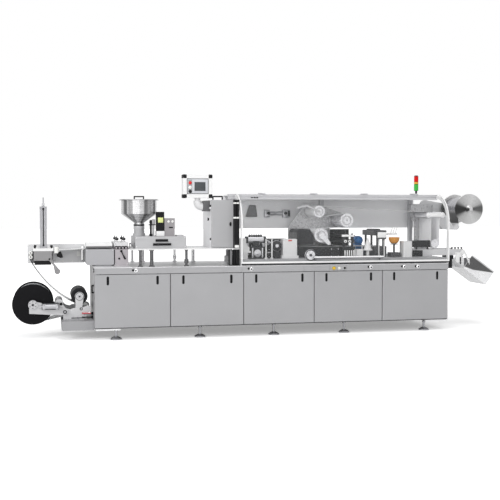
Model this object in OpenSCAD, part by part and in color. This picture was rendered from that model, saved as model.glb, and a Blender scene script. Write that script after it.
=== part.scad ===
// Blister packing machine: a long cabinet on levelling feet that carries, from left to right,
// the film unwinder, the infeed press, heating and forming stations, the tablet feeder,
// the guarded sealing and punching section, the lidding foil reel and the outfeed chute.
// X runs along the machine, Y from the operator's side to the back, Z up. Millimetres.

/* [Base cabinet] */
// Length of the cabinet
base_l = 3900; // [3600:10:4200]
// Depth of the cabinet
base_d = 1050; // [980:10:1150]
// Height of the deck's top face over the floor
deck_z = 750; // [700:5:800]
// Thickness of the deck plate
deck_t = 8; // [5:1:12]
// Height of the apron band under the deck
apron_h = 60; // [50:1:70]
// Height of the bottom pan's underside over the floor
ground_gap = 118; // [110:1:140]
// Thickness of the bottom pan
pan_t = 10; // [6:1:14]
// Thickness of the side panels and the apron
panel_t = 22; // [18:1:28]
// Gap between neighbouring panels
panel_gap = 6; // [3:1:10]
// Side of the square frame posts
post_w = 50; // [40:1:60]
// Height of a panel's grip
grip_h = 92; // [70:1:110]
// Width of a panel's grip
grip_w = 26; // [20:1:32]
// Distance from a panel's edge to the middle of its grip
grip_inset = 132; // [100:1:170]
// Diameter of a levelling foot's pad
foot_d = 116; // [90:1:130]
// Diameter of a levelling foot's threaded stem
stem_d = 24; // [16:1:30]

/* [Film unwinder] */
// Width of the forming film
film_w = 340; // [300:5:360]
// Radius of the unwinder reel's flanges
reel_r = 212; // [190:1:230]
// Radius of the film wound on the reel
roll_r = 196; // [120:1:205]
// Distance of the reel's axis left of the cabinet
reel_x = 617; // [590:1:640]
// Height of the reel's axis over the floor
reel_z = 357; // [330:1:380]
// Diameter of the reel's axle
axle_d = 36; // [28:1:44]
// Radius of the tension roller
tension_r = 86; // [70:1:95]
// Distance of the tension roller's axis left of the cabinet
tension_x = 141; // [125:1:160]
// Height of the tension roller's axis over the floor
tension_z = 433; // [420:1:450]

/* [Infeed and forming] */
// Length of the infeed side plate left of the cabinet
infeed_l = 676; // [640:1:700]
// Height of the infeed side plate
infeed_h = 206; // [180:1:230]
// Width of the splicing press along the film
press_w = 198; // [170:1:220]
// Height of the press's air cylinder
press_cyl_h = 438; // [350:1:480]
// Length of the heating station
heat_l = 294; // [260:1:310]
// Width of the forming unit along the film
form_l = 150; // [120:1:152]

/* [Tablet feeder] */
// Height of the feeder plate's top over the deck
plate_up = 182; // [170:1:200]
// Thickness of the feeder plate
plate_t = 8; // [5:1:12]
// Outer radius of the hopper
hopper_r = 191; // [160:1:210]
// Height of the hopper's straight wall
hopper_h = 151; // [120:1:180]
// Height of the hopper's cone
hopper_cone_h = 96; // [80:1:110]
// Outer radius of the hopper's neck
neck_r = 54; // [44:1:58]
// Wall thickness of the hopper
hopper_t = 3; // [2:0.5:5]
// Height of the feeder housing
housing_h = 127; // [110:1:140]

/* [Control cabinet and panel] */
// Width of the control cabinet
cab_w = 248; // [220:1:252]
// Depth of the control cabinet behind its door
cab_d = 503; // [440:1:540]
// Height of the control cabinet
cab_h = 517; // [480:1:540]
// Thickness of the control cabinet's door
door_t = 20; // [16:1:26]
// Width of the operator panel's housing
hmi_w = 320; // [280:1:340]
// Height of the operator panel's housing
hmi_h = 250; // [220:1:270]
// Depth of the operator panel's housing
hmi_d = 100; // [80:1:120]
// Diameter of the operator panel's elbow arm
elbow_d = 86; // [70:1:90]

/* [Guard] */
// Distance of the guard's left end from the cabinet's left end
guard_x = 1534; // [1534:1:1600]
// How far the guard reaches past the cabinet's right end
guard_past = 9; // [0:1:20]
// Height of the guard's top over the floor
guard_z = 1515; // [1480:1:1560]
// Radius of the hood's curved front edge
hood_r = 320; // [260:1:330]
// Thickness of the clear hood
hood_t = 6; // [4:1:8]
// Height of the top beam
beam_h = 58; // [50:1:70]
// Height of the station bed over the deck
bed_h = 62; // [50:1:66]

/* [Foil reel and outfeed] */
// Radius of the foil reel's flanges
foil_r = 174; // [150:1:180]
// Radius of the foil wound on the reel
foil_roll_r = 142; // [110:1:150]
// Distance of the foil reel's axis right of the cabinet
foil_x = 412; // [405:1:440]
// Height of the foil reel's axis over the floor
foil_z = 1354; // [1330:1:1380]
// Length of the chute along its slope
chute_l = 343; // [300:1:380]
// Height of the chute's side walls
chute_h = 192; // [150:1:210]
// Slope of the chute
chute_slope = 35; // [25:1:40]

/* [Hidden] */
$fn = 48;

// Clearances: between fixed pieces that slide together, and round moving ones
fit = 0.3;
clear = 6;

// Cabinet levels
pan_z = ground_gap + pan_t;
apron_z1 = deck_z - deck_t;
apron_z0 = apron_z1 - apron_h;
panel_z0 = pan_z + 2;
panel_z1 = apron_z0 - panel_gap;
panel_n = 5;
panel_pitch = base_l / panel_n;
end_t = 20;
foot_x = [0.0564, 0.2821, 0.4885, 0.6923, 0.9333] * base_l;
foot_inset = 70;
bracket_h = 18;
bracket_l = 250;
bracket_inset = 12;
bracket_d = 110;

// Film line: everything that handles the web is centred on the cabinet's depth
mid_y = base_d / 2;
web_y0 = mid_y - film_w / 2;
web_y1 = mid_y + film_w / 2;
flange_t = 10;
reel_gap = 10;
reel_y0 = web_y0 - reel_gap - flange_t;
reel_y1 = web_y1 + reel_gap + flange_t;
arm_t = 20;
hub_r = 50;
hub_l = 30;
arm_y0 = reel_y0 - hub_l - clear - arm_t;
arm_y1 = reel_y1 + hub_l + clear + arm_t;
web_t = 1;
press_x0 = -611;
press_z0 = deck_z + 62;
press_z1 = deck_z + 162;
heat_slot_z = deck_z + 178;

// Stations
plate_z = deck_z + plate_up;
bed_z = deck_z + bed_h;
heat_x0 = -73;
heat_x1 = heat_x0 + heat_l;
station_y0 = mid_y - 225;
station_y1 = mid_y + 225;
form_x0 = heat_x1 + 2;
form_x1 = form_x0 + form_l;
plate_x0 = form_x1 + 6;
plate_x1 = guard_x - 2;
plate_y0 = 60;
plate_y1 = base_d - 32;
housing_x0 = plate_x0 + 64;
housing_x1 = housing_x0 + 547;
housing_z = plate_z + housing_h;
hopper_x = housing_x0 + 66;
neck_h = 36;
dosing_h = 108;
neck_z = housing_z + dosing_h;
cone_z = neck_z + neck_h;
hopper_z = cone_z + hopper_cone_h;
rim_z = hopper_z + hopper_h;

// Control cabinet, its door and the operator panel
cab_x1 = guard_x - 22;
cab_x0 = cab_x1 - cab_w;
cab_y0 = mid_y - 222;
cab_y1 = cab_y0 + cab_d;
cab_z1 = plate_z + cab_h;
door_gap = 5;
door_y0 = cab_y0 - door_gap - door_t;
hinge_x = cab_x0 - 8;
hinge_y = door_y0 + door_t - 6;
barrel_d = 14;
pin_d = 8;
hinge_up = [82, cab_h - 76];
hmi_x = cab_x0 - 134;
hmi_y = mid_y - 135;
elbow_z = cab_z1 - 70;
hmi_z0 = cab_z1 + 23;

// Guard and what carries it
guard_x1 = base_l + guard_past;
beam_y0 = hood_r + clear;
beam_y1 = beam_y0 + 60;
beam_x0 = guard_x - 73;
rear_y = base_d - 40;
hood_z0 = deck_z + 22;
arch_w = 34;
arch_t = 14;

// Foil reel, outfeed and chute
foil_cx = base_l + foil_x;
out_x0 = base_l - 250;
out_x1 = base_l + 354;
out_z0 = bed_z + 8;
out_z1 = deck_z + 140;
chute_w = film_w + 64;
chute_x = out_x1 - 8;
chute_z = deck_z - 82;
tip_x = chute_x + chute_l * cos(chute_slope) + chute_h * sin(chute_slope);
handle_d = 26;
handle_out = 55;

// Middle of the whole machine on the floor
x_mid = (tip_x - reel_x - reel_r) / 2;
y_mid = (base_d - handle_out - handle_d / 2) / 2;

// The machine's own frame: the middle of its footprint on the floor
module placed() { translate([-x_mid, -y_mid, 0]) children(); }

// A block between two corners
module block(x0, x1, y0, y1, z0, z1) { translate([x0, y0, z0]) cube([x1 - x0, y1 - y0, z1 - z0]); }

// Round bars along each axis
module bar_x(x0, x1, y, z, d) { translate([x0, y, z]) rotate([0, 90, 0]) cylinder(h = x1 - x0, d = d); }
module bar_y(x, y0, y1, z, d) { translate([x, y0, z]) rotate([-90, 0, 0]) cylinder(h = y1 - y0, d = d); }
module bar_z(x, y, z0, z1, d) { translate([x, y, z0]) cylinder(h = z1 - z0, d = d); }

// A flat outline given in X and Z, as thick as from y0 to y1
module plate_xz(y0, y1) { translate([0, y1, 0]) rotate([90, 0, 0]) linear_extrude(y1 - y0) children(); }

// A flat outline given in Y and Z, as long as from x0 to x1
module plate_yz(x0, x1) { translate([x0, 0, 0]) rotate([90, 0, 90]) linear_extrude(x1 - x0) children(); }

// A flat outline given in X and Y, as high as from z0 to z1
module plate_xy(z0, z1) { translate([0, 0, z0]) linear_extrude(z1 - z0) children(); }

// A turned piece: its outline gives radius and place along Y, or radius and height
module turned_y(x, z) { translate([x, 0, z]) rotate([-90, 0, 0]) rotate_extrude() children(); }
module turned_z(x, y) { translate([x, y, 0]) rotate_extrude() children(); }

// Directions in a plane
function ray(a) = [cos(a), sin(a)];
function full_turn(a) = a - 360 * floor(a / 360);

// A strip between two round ends, for arms and links: its sides start a little inside the round ends
module link_2d(a, b, ra, rb) {
    side = 0.95 * [a[1] - b[1], b[0] - a[0]] / norm(b - a);
    translate(a) circle(ra);
    translate(b) circle(rb);
    polygon([a + ra * side, b + rb * side, b - rb * side, a - ra * side]);
}

// An upright slot with round ends, and a rectangle with round corners
module slot_2d(x, z, w, h) {
    translate([x - w / 2, z - (h - w) / 2]) square([w, h - w]);
    for (end = [-1, 1]) translate([x, z + end * (h - w) / 2]) circle(d = w);
}
module rounded_2d(x0, x1, y0, y1, r) {
    translate([x0 + r, y0]) square([x1 - x0 - 2 * r, y1 - y0]);
    translate([x0, y0 + r]) square([x1 - x0, y1 - y0 - 2 * r]);
    for (x = [x0 + r, x1 - r], y = [y0 + r, y1 - r]) translate([x, y]) circle(r);
}

// Outline of a ribbed hose: its radius steps in and out along its height
function ribs(r, depth, pitch, z0, n) = concat([[0, z0]], [for (i = [0 : n - 1], k = [0 : 3])
    [r - (k < 2 ? 0 : depth), z0 + pitch * (i + (k == 0 ? 0 : k < 3 ? 0.5 : 1))]], [[0, z0 + pitch * n]]);

// Routes of a web: each roller is [x, z, r, side], with side 1 where the roller lies on the left of the way
function run(a, b) = let (d = [b[0] - a[0], b[1] - a[1]])
    atan2(d[1], d[0]) - asin((b[3] * b[2] - a[3] * a[2]) / norm(d));
function wrap(r, from, to) =
    let (turn = r[3] > 0 ? full_turn(to - from) : -full_turn(from - to),
        n = max(1, ceil(abs(turn) / 15)), step = turn / n)
    [for (i = [0 : n - 1])
        [r[0], r[1]] + r[2] / cos(step / 2) * ray(from - 90 * r[3] + (i + 0.5) * step)];
function past(r, way) = [r[0], r[1]] + r[2] * ray(way - 90 * r[3]);
function curve(a, b, c, d, n) = [for (i = [1 : n - 1]) let (s = i / n, q = 1 - s)
    a * q * q * q + b * 3 * s * q * q + c * 3 * s * s * q + d * s * s * s];
function normal(a, b) = [a[1] - b[1], b[0] - a[0]] / norm(b - a);
function mitre(p, i) = let (last = len(p) - 1, k = max(i, 1), j = min(i, last - 1),
    a = normal(p[k - 1], p[k]), b = normal(p[j], p[j + 1])) (a + b) / (1 + a * b);

// A strip of even thickness laid centred on a route
module ribbon(p, t) {
    polygon(concat([for (i = [0 : len(p) - 1]) p[i] + t / 2 * mitre(p, i)],
        [for (i = [len(p) - 1 : -1 : 0]) p[i] - t / 2 * mitre(p, i)]));
}

// Bottom pan with the short foot brackets under both ends
module base_pan() {
    color("gainsboro") placed() {
        block(0, base_l, panel_t, base_d - panel_t, ground_gap, pan_z);
        for (x = [bracket_inset, base_l - bracket_inset - bracket_l],
            y = [panel_t, base_d - panel_t - bracket_d])
            block(x, x + bracket_l, y, y + bracket_d, ground_gap - bracket_h, ground_gap);
    }
}

// Square posts behind every panel seam, front and back
module frame_posts() {
    color("silver") placed()
        for (i = [0 : panel_n], y = [panel_t, base_d - panel_t - post_w]) {
            x = i == 0 ? end_t : i == panel_n ? base_l - end_t - post_w : i * panel_pitch - post_w / 2;
            block(x, x + post_w, y, y + post_w, pan_z, apron_z1);
        }
}

// Apron bands under the deck's long edges, with their butt seams, and the plain end walls
apron_seams = [0.394, 0.569, 0.6436];
seam_w = 3;
seam_depth = 4;
module apron() {
    difference() {
        block(0, base_l, 0, panel_t, apron_z0, apron_z1);
        for (at = apron_seams)
            block(at * base_l, at * base_l + seam_w, -1, seam_depth, apron_z0 - 1, apron_z1 + 1);
    }
}
module cabinet_walls() {
    color("silver") placed() {
        apron();
        on_back() apron();
        for (x = [0, base_l - end_t])
            block(x, x + end_t, panel_t + panel_gap, base_d - panel_t - panel_gap, pan_z, apron_z1);
    }
}

// Deck plate with rounded front and back edges
module deck_plate() {
    edge = deck_t / 2;
    color("whitesmoke") placed() {
        block(0, base_l, edge, base_d - edge, apron_z1, deck_z);
        for (y = [edge, base_d - edge]) bar_x(0, base_l, y, apron_z1 + edge, deck_t);
    }
}

// One lift-off panel with folded side edges and two pockets for its grips, outer face at y = 0
grip_z = panel_z1 - 16 - grip_h / 2;
grip_depth = 14;
fold_r = 8;
module panel(i) {
    x0 = i * panel_pitch + panel_gap / 2;
    x1 = (i + 1) * panel_pitch - panel_gap / 2;
    difference() {
        plate_xy(panel_z0, panel_z1) {
            translate([x0 + fold_r, 0]) square([x1 - x0 - 2 * fold_r, panel_t]);
            translate([x0, fold_r]) square([x1 - x0, panel_t - fold_r]);
            for (x = [x0 + fold_r, x1 - fold_r]) translate([x, fold_r]) circle(fold_r);
        }
        for (x = [x0 + grip_inset, x1 - grip_inset])
            plate_xz(-1, grip_depth) slot_2d(x, grip_z, grip_w, grip_h);
    }
}

// A black moulded cup that fills a panel's pocket, with its finger hollow
module grip(x) {
    rim = 4;
    floor_t = 3;
    difference() {
        plate_xz(0, grip_depth) slot_2d(x, grip_z, grip_w, grip_h);
        plate_xz(-1, grip_depth - floor_t) slot_2d(x, grip_z, grip_w - 2 * rim, grip_h - 2 * rim);
    }
}

// The same piece on the back of the cabinet
module on_back() { translate([0, base_d, 0]) mirror([0, 1, 0]) children(); }

module front_panels() { color("silver") placed() for (i = [0 : panel_n - 1]) panel(i); }

module rear_panels() { color("silver") placed() on_back() for (i = [0 : panel_n - 1]) panel(i); }

module panel_grips() {
    edge = panel_gap / 2 + grip_inset;
    color("#202022") placed()
        for (i = [0 : panel_n - 1], x = [i * panel_pitch + edge, (i + 1) * panel_pitch - edge]) {
            grip(x);
            on_back() grip(x);
        }
}

// Levelling feet: a flared pad, a threaded stem and its hexagonal lock nut
module foot(top) {
    pad_h = 14;
    cone_h = 34;
    nut_h = 14;
    rotate_extrude() polygon([[0, 0], [foot_d / 2, 0], [foot_d / 2, pad_h], [stem_d, cone_h],
        [stem_d / 2, cone_h], [stem_d / 2, top], [0, top]]);
    translate([0, 0, top - nut_h]) cylinder(h = nut_h, d = stem_d * 1.7, $fn = 6);
}

module levelling_feet() {
    color("gainsboro") placed()
        for (i = [0 : len(foot_x) - 1], y = [foot_inset, base_d - foot_inset]) {
            ends = i == 0 || i == len(foot_x) - 1;
            translate([foot_x[i], y, 0]) foot(ends ? ground_gap - bracket_h : ground_gap);
        }
}

// Box beam with its end cap on the cabinet's left end, which carries the unwinder
beam_z0 = 96;
beam_z1 = 193;
beam_reach = 330;
beam_front = 117;
module unwind_beam() {
    cap_t = 8;
    cap_in = 6;
    color("lightgray") placed() {
        block(cap_t - beam_reach, 0, beam_front, arm_y1 + 20, beam_z0, beam_z1);
        block(-beam_reach, cap_t - beam_reach, beam_front + cap_in, arm_y1 + 20 - cap_in,
            beam_z0 + cap_in, beam_z1 - cap_in);
    }
}

// Upright castings at the front and back: a round boss for the tension roller on a flared neck, an ear for
// the guide roller and a lug for the reel arms, joined by the return roller and the guide roller
bracket_t = 24;
tension = [-tension_x, tension_z];
boss_r = 47;
arm_joint = [-292, 277];
return_roller = [-56, 300];
return_r = 25;
guide_roller = [-350, 366];
guide_r = 40;
module bracket_outline() {
    waist = tension - [8, 130];
    hip = [-190, beam_z1 + 50];
    foot_w = 240;
    intersection() {
        union() {
            translate([hip[0] - foot_w / 2, beam_z1]) square([foot_w, 46]);
            link_2d(tension, waist, boss_r, 34);
            link_2d(waist, hip, 33, 70);
            link_2d(arm_joint, hip, 37, 44);
            link_2d(return_roller, hip, 36, 46);
            link_2d(guide_roller, arm_joint, 22, 30);
        }
        translate([-beam_reach - 60, beam_z1]) square([beam_reach + 60, tension_z]);
    }
}
module unwind_bracket() {
    y0 = arm_y0 + arm_t + fit;
    y1 = arm_y1 - arm_t - fit;
    color("gainsboro") placed()
        for (y = [y0, y1 - bracket_t])
            difference() {
                plate_xz(y, y + bracket_t) bracket_outline();
                bar_y(-tension_x, y - 1, y + bracket_t + 1, tension_z, axle_d + 2 * fit);
            }
    color("silver") placed() {
        bar_y(return_roller[0], y0 + bracket_t, y1 - bracket_t, return_roller[1], 2 * return_r);
        bar_y(guide_roller[0], y0 + bracket_t, y1 - bracket_t, guide_roller[1], 2 * guide_r);
    }
}

// Arms that carry the reel's axle, one outside each bracket: deep at the reel, with a raised hub disc
arm_hub_r = 48;
arm_end_r = 38;
module arm_outline() {
    reel = [-reel_x, reel_z];
    drop = 92;
    translate(reel) circle(arm_hub_r);
    translate(arm_joint) circle(arm_end_r);
    polygon([reel - [arm_end_r, -20], reel - [arm_end_r, drop], arm_joint - [0, arm_end_r],
        arm_joint + [0, arm_end_r], reel + [arm_end_r, 28]]);
}
module unwind_arms() {
    cap_t = 10;
    color("white") placed() {
        for (y = [arm_y0, arm_y1 - arm_t]) plate_xz(y, y + arm_t) arm_outline();
        bar_y(-reel_x, arm_y0 + arm_t, arm_y1 - arm_t, reel_z, axle_d);
        bar_y(-reel_x, arm_y0 - cap_t, arm_y0, reel_z, 2 * arm_hub_r);
        bar_y(arm_joint[0], arm_y0 - cap_t, arm_y0, arm_joint[1], arm_end_r);
    }
}

// Air cylinder of the reel's brake on the front arm: square end caps, round barrel, rod and rod eye
module brake_cylinder() {
    x0 = -520;
    x1 = -359;
    z = 338;
    side = 56;
    cap_l = 26;
    rod_l = 30;
    eye = 26;
    y = arm_y0 - side / 2;
    color("silver") placed() {
        for (x = [x0, x1 - cap_l]) block(x, x + cap_l, y - side / 2, arm_y0, z - side / 2, z + side / 2);
        bar_x(x0 + cap_l, x1 - cap_l, y, z, side - 6);
        bar_x(x0 - rod_l, x0, y, z, 14);
        block(x0 - rod_l, x0 - rod_l + eye / 2, y - eye / 2, arm_y0, z - eye / 2, z + eye / 2);
    }
}

// Film wound on its core
module film_roll() {
    color("aliceblue") placed() difference() {
        bar_y(-reel_x, web_y0, web_y1, reel_z, 2 * roll_r);
        bar_y(-reel_x, web_y0 - 1, web_y1 + 1, reel_z, axle_d + 2 * fit);
    }
}

// Outline of a reel's flange disc with eased edges, and of its hub, from y0 to y1
module ring_2d(r0, r1, y0, y1, ease) {
    polygon([[r0, y0], [r1 - ease, y0], [r1, y0 + ease], [r1, y1 - ease], [r1 - ease, y1], [r0, y1]]);
}

// Reel flanges with their hubs
bore_r = axle_d / 2 + fit;
module reel_flanges() {
    ease = 2;
    color("#26262a") placed() turned_y(-reel_x, reel_z) {
        for (y = [reel_y0, reel_y1 - flange_t]) ring_2d(bore_r, reel_r, y, y + flange_t, ease);
        translate([bore_r, reel_y0 - hub_l]) square([hub_r - bore_r, hub_l + 1]);
        translate([bore_r, reel_y1 - 1]) square([hub_r - bore_r, hub_l + 1]);
        for (y = [reel_y0 + flange_t - 1, web_y1])
            translate([bore_r, y]) square([hub_r - bore_r, reel_gap + 1]);
    }
}

// Tension roller: rubber face with dished ends on a steel shaft that runs in the brackets
module tension_roller() {
    ease = 4;
    dish = 10;
    core_r = tension_r * 0.62;
    shaft_r = axle_d / 2;
    y0 = arm_y0 + arm_t + fit;
    y1 = arm_y1 - arm_t - fit;
    color("#2a2a2c") placed() turned_y(-tension_x, tension_z)
        polygon([[0, y0], [shaft_r, y0], [shaft_r, reel_y0 + dish], [core_r, reel_y0 + dish],
            [core_r + ease, reel_y0], [tension_r - ease, reel_y0], [tension_r, reel_y0 + ease],
            [tension_r, reel_y1 - ease],
            [tension_r - ease, reel_y1], [core_r + ease, reel_y1], [core_r, reel_y1 - dish],
            [shaft_r, reel_y1 - dish], [shaft_r, y1], [0, y1]]);
}

// Film: from the forming unit back through the heating station and the press, over the infeed rollers, down
// in a slack curve to the underside of the tension roller, round the return roller and back to the reel;
// on the other side of the forming unit it lies on the feeder plate and runs on through the guard
infeed_z0 = deck_z + 17;
infeed_y = station_y1 - 50;
idler_r = 19;
idler_x = -636;
idler_z = [deck_z + 101, press_z1 - idler_r];
lead_angle = 68;
lead = 165;
wrap_angle = 10;
sag = 240;
strip_r = fit + web_t / 2;
level_z = plate_z + strip_r;
module film_web() {
    top = [idler_x, idler_z[1], idler_r + strip_r, 1];
    low = [idler_x, idler_z[0], idler_r + strip_r, 1];
    tight = [-tension_x, tension_z, tension_r + strip_r, 1];
    back = [return_roller[0], return_roller[1], return_r + strip_r, -1];
    wound = [-reel_x, reel_z, roll_r + strip_r, -1];
    over = run(tight, back);
    home = run(back, wound);
    leave = past(low, -lead_angle);
    touch = past(tight, over - wrap_angle);
    route = concat([[form_x0, level_z], [heat_x0, level_z], [press_x0 + press_w + 20, press_z1 + strip_r]],
        wrap(top, 180, 270), wrap(low, 270, 360 - lead_angle), [leave],
        curve(leave, leave + lead * ray(-lead_angle), touch - sag * ray(over - wrap_angle), touch, 14),
        [touch],
        wrap(tight, over - wrap_angle, over), wrap(back, over, home), [past(wound, home)]);
    color("aliceblue") placed() {
        plate_xz(web_y0, web_y1) ribbon(route, web_t);
        for (x = [[form_x1, housing_x0], [housing_x1, cab_x0], [cab_x1, punch_x0 + punch_l]])
            block(x[0], x[1], web_y0, web_y1, plate_z + fit, plate_z + fit + web_t);
    }
}

// Side plate of the infeed with its long slot, bolted to the heating station
module infeed_plate() {
    slot_w = 16;
    slot_h = 150;
    color("darkgray") placed() difference() {
        block(-infeed_l, heat_x0, infeed_y, infeed_y + 12, infeed_z0, infeed_z0 + infeed_h);
        plate_xz(infeed_y - 1, infeed_y + 13) slot_2d(heat_x0 - 19, infeed_z0 + infeed_h / 2, slot_w, slot_h);
    }
}

// Infeed idlers with raised end rims, and the upright edge roller on its cross bar
edge_x = -372;
edge_r = 24;
edge_y = web_y0 - 4 - edge_r;
module infeed_rollers() {
    y0 = station_y0 + 40;
    z0 = press_z1 - 22;
    z1 = press_z1 + 44;
    dome = 8;
    bar_up = z0 + 8;
    color("white") placed() {
        for (z = idler_z) bar_y(idler_x, y0, infeed_y, z, 2 * idler_r);
        turned_z(edge_x, edge_y)
            polygon([[0, z0], [edge_r, z0], [edge_r, z1 - dome], [edge_r - dome, z1], [0, z1]]);
        bar_y(edge_x, edge_y, infeed_y, bar_up, 14);
    }
}

// Splicing press: the block under the film with its foot, and the hand lever with its broad paddle
press_side = 15;
press_y0 = web_y0 - press_side;
press_x1 = press_x0 + press_w;
module splice_press() {
    foot_in = 14;
    lever_t = 8;
    pivot = [press_x1 - 32, press_z0 + 16];
    elbow = [press_x1 + 18, deck_z + 12];
    paddle = [press_x1 + 48, deck_z - 52];
    color("lightgray") placed() {
        block(press_x0, press_x1, press_y0, infeed_y, press_z0, press_z1);
        block(press_x0 + foot_in, press_x1 - foot_in, press_y0 + foot_in, infeed_y, infeed_z0, press_z0);
        plate_xz(press_y0 - lever_t, press_y0) {
            link_2d(pivot, elbow, 13, 11);
            link_2d(elbow, paddle, 11, 30);
        }
    }
}

// White cap over the film, on two strips beside it
cap_h = 27;
cap_gap = 8;
module splice_cap() {
    color("white") placed() difference() {
        block(press_x0 - 2, press_x1 + 8, press_y0, infeed_y, press_z1, press_z1 + cap_h);
        block(press_x0 - 3, press_x1 + 9, web_y0 - 3, web_y1 + 3, press_z1 - 1, press_z1 + cap_gap);
    }
}

// Profile air cylinder standing on the press's cap: end plates, grooved body and rod
module splice_cylinder() {
    z0 = press_z1 + cap_h;
    z1 = z0 + press_cyl_h;
    x = press_x0 + press_w / 2 + 8;
    half = 38;
    end_h = 26;
    ease = 2;
    groove = 7;
    color("lightgray") placed() {
        for (z = [z0, z1 - end_h]) block(x - half, x + half, mid_y - half, mid_y + half, z, z + end_h);
        difference() {
            block(x - half + ease, x + half - ease, mid_y - half + ease, mid_y + half - ease,
                z0 + end_h, z1 - end_h);
            for (side = [-1, 1]) {
                y = mid_y + side * half;
                block(x - groove, x + groove, y - 2 * groove, y + 2 * groove, z0 + end_h, z1 - end_h);
            }
        }
        bar_z(x, mid_y, z1, z1 + 10, 34);
        bar_z(x, mid_y, z1 + 10, z1 + 96, 12);
    }
}

// Heating station: the lower box on its plinth, with a ledge at the back that carries the upper plate
heat_slot = 16;
module heating_station() {
    round = 24;
    foot_h = 12;
    z0 = deck_z + foot_h;
    color("silver") placed() {
        plate_xz(station_y0, station_y1) {
            translate([heat_x0 + round, z0]) square([heat_l - round, heat_slot_z - z0]);
            translate([heat_x0, z0 + round]) square([round, heat_slot_z - z0 - round]);
            translate([heat_x0 + round, z0 + round]) circle(round);
        }
        block(20, heat_x1 - 20, station_y0 + 20, station_y1 - 20, deck_z, z0);
        block(heat_x0, heat_x1, infeed_y, station_y1, heat_slot_z, heat_slot_z + heat_slot);
    }
}

// Upper plate of the heating station with its white cover and lifting rib
module heating_cover() {
    z0 = heat_slot_z + heat_slot;
    plate_h = 12;
    cover_h = 34;
    rib_h = 10;
    step = 6;
    x1 = heat_x1 - 18;
    color("white") placed() {
        block(heat_x0, x1, station_y0, station_y1, z0, z0 + plate_h);
        block(heat_x0 + step, x1, station_y0 + step, station_y1 - step, z0 + plate_h, z0 + plate_h + cover_h);
        block(heat_x0 + 34, x1 - 34, mid_y - 20, mid_y + 20,
            z0 + plate_h + cover_h, z0 + plate_h + cover_h + rib_h);
    }
}

// Forming unit: body, narrower neck at the film, head and four tie rods with lobed knobs
module forming_unit() {
    neck_z0 = plate_z - 7;
    head_z = plate_z + 28;
    top_z = head_z + 38;
    in = 10;
    rod_h = 22;
    knob_h = 24;
    color("lightgray") placed() {
        block(form_x0, form_x1, station_y0, station_y1, deck_z, neck_z0);
        block(form_x0, form_x1, station_y0 + in, station_y1 - in, neck_z0, head_z);
        block(form_x0, form_x1, station_y0, station_y1, head_z, top_z);
        for (x = [form_x0 + 34, form_x1 - 42], y = [mid_y - 150, mid_y + 150]) {
            bar_z(x, y, top_z, top_z + rod_h, 16);
            translate([x, y, top_z + rod_h]) cylinder(h = knob_h, d = 36, $fn = 8);
        }
    }
}

// Raised plate of the tablet feeder
module feeder_plate() {
    corner = 16;
    color("white") placed()
        plate_xy(plate_z - plate_t, plate_z) rounded_2d(plate_x0, plate_x1, plate_y0, plate_y1, corner);
}

// Posts that carry the feeder plate, with flanged ends
module post(x, y, d) {
    z1 = plate_z - plate_t;
    flange_h = 10;
    bar_z(x, y, deck_z, z1, d);
    bar_z(x, y, deck_z, deck_z + flange_h, d + 22);
    bar_z(x, y, z1 - flange_h, z1, d + 14);
}
module feeder_posts() {
    front = plate_y0 + 30;
    rear = plate_y1 - 30;
    collar_z = deck_z + 34;
    color("gray") placed() {
        for (y = [front, rear]) {
            post(plate_x0 + 97, y, 28);
            post(plate_x0 + 216, y, 38);
            post(plate_x0 + 582, y, 28);
            bar_z(plate_x0 + 582, y, collar_z, collar_z + 40, 46);
        }
        post(plate_x0 + 775, plate_y1 - 162, 38);
    }
}

// Feeder housing with its parting groove, the low cover, and the ribbed dosing unit under the hopper's neck
module feeder_housing() {
    half = 255;
    corner = 10;
    groove = 3;
    groove_z = plate_z + 92;
    low_x = housing_x0 + 447;
    foot_r = 68;
    body_r = 60;
    rib_n = 4;
    rib_p = 15;
    rib_z = housing_z + 28;
    ring_r = neck_r + 4;
    color("gainsboro") placed() {
        difference() {
            plate_xy(plate_z, housing_z)
                rounded_2d(housing_x0, housing_x1, mid_y - half, mid_y + half, corner);
            for (y = [mid_y - half, mid_y + half])
                block(housing_x0 - 1, housing_x1 + 1, y - groove, y + groove, groove_z, groove_z + groove);
        }
        block(low_x, low_x + 75, mid_y - half + 20, mid_y - half + 150, housing_z, housing_z + 16);
        turned_z(hopper_x, mid_y) {
            translate([0, housing_z]) square([foot_r, rib_z - housing_z]);
            polygon(ribs(body_r, 4, rib_p, rib_z, rib_n));
            translate([0, rib_z + rib_p * rib_n]) square([ring_r, neck_z - rib_z - rib_p * rib_n]);
        }
    }
}

// Hopper: straight wall, cone and neck in one sheet, open at the top, with a flat rim
module hopper() {
    rim_w = 27;
    rim_t = 4;
    color("silver") placed() translate([hopper_x, mid_y, 0]) rotate_extrude($fn = 96)
        polygon([[neck_r - hopper_t, neck_z], [neck_r, neck_z], [neck_r, cone_z], [hopper_r, hopper_z],
            [hopper_r, rim_z - rim_t], [hopper_r + rim_w, rim_z - rim_t], [hopper_r + rim_w, rim_z],
            [hopper_r - hopper_t, rim_z], [hopper_r - hopper_t, hopper_z + 1],
            [neck_r - hopper_t, cone_z + 1]]);
}

// A bail of round bar, w wide and h high
module bail(w, h, d) {
    for (x = [-w / 2, w / 2]) {
        translate([x, 0, 0]) cylinder(h = h - d / 2, d = d);
        translate([x, 0, h - d / 2]) sphere(d = d);
        translate([x, 0, 0]) cylinder(h = d / 2, d = 2 * d);
    }
    translate([-w / 2, 0, h - d / 2]) rotate([0, 90, 0]) cylinder(h = w, d = d);
}

// Lid with its bail handle
module hopper_lid() {
    lid_h = 6;
    color("silver") placed() translate([hopper_x, mid_y, rim_z]) {
        cylinder(h = lid_h, r = hopper_r + 14, $fn = 96);
        translate([0, 0, lid_h]) bail(100, 34, 8);
    }
}

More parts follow.
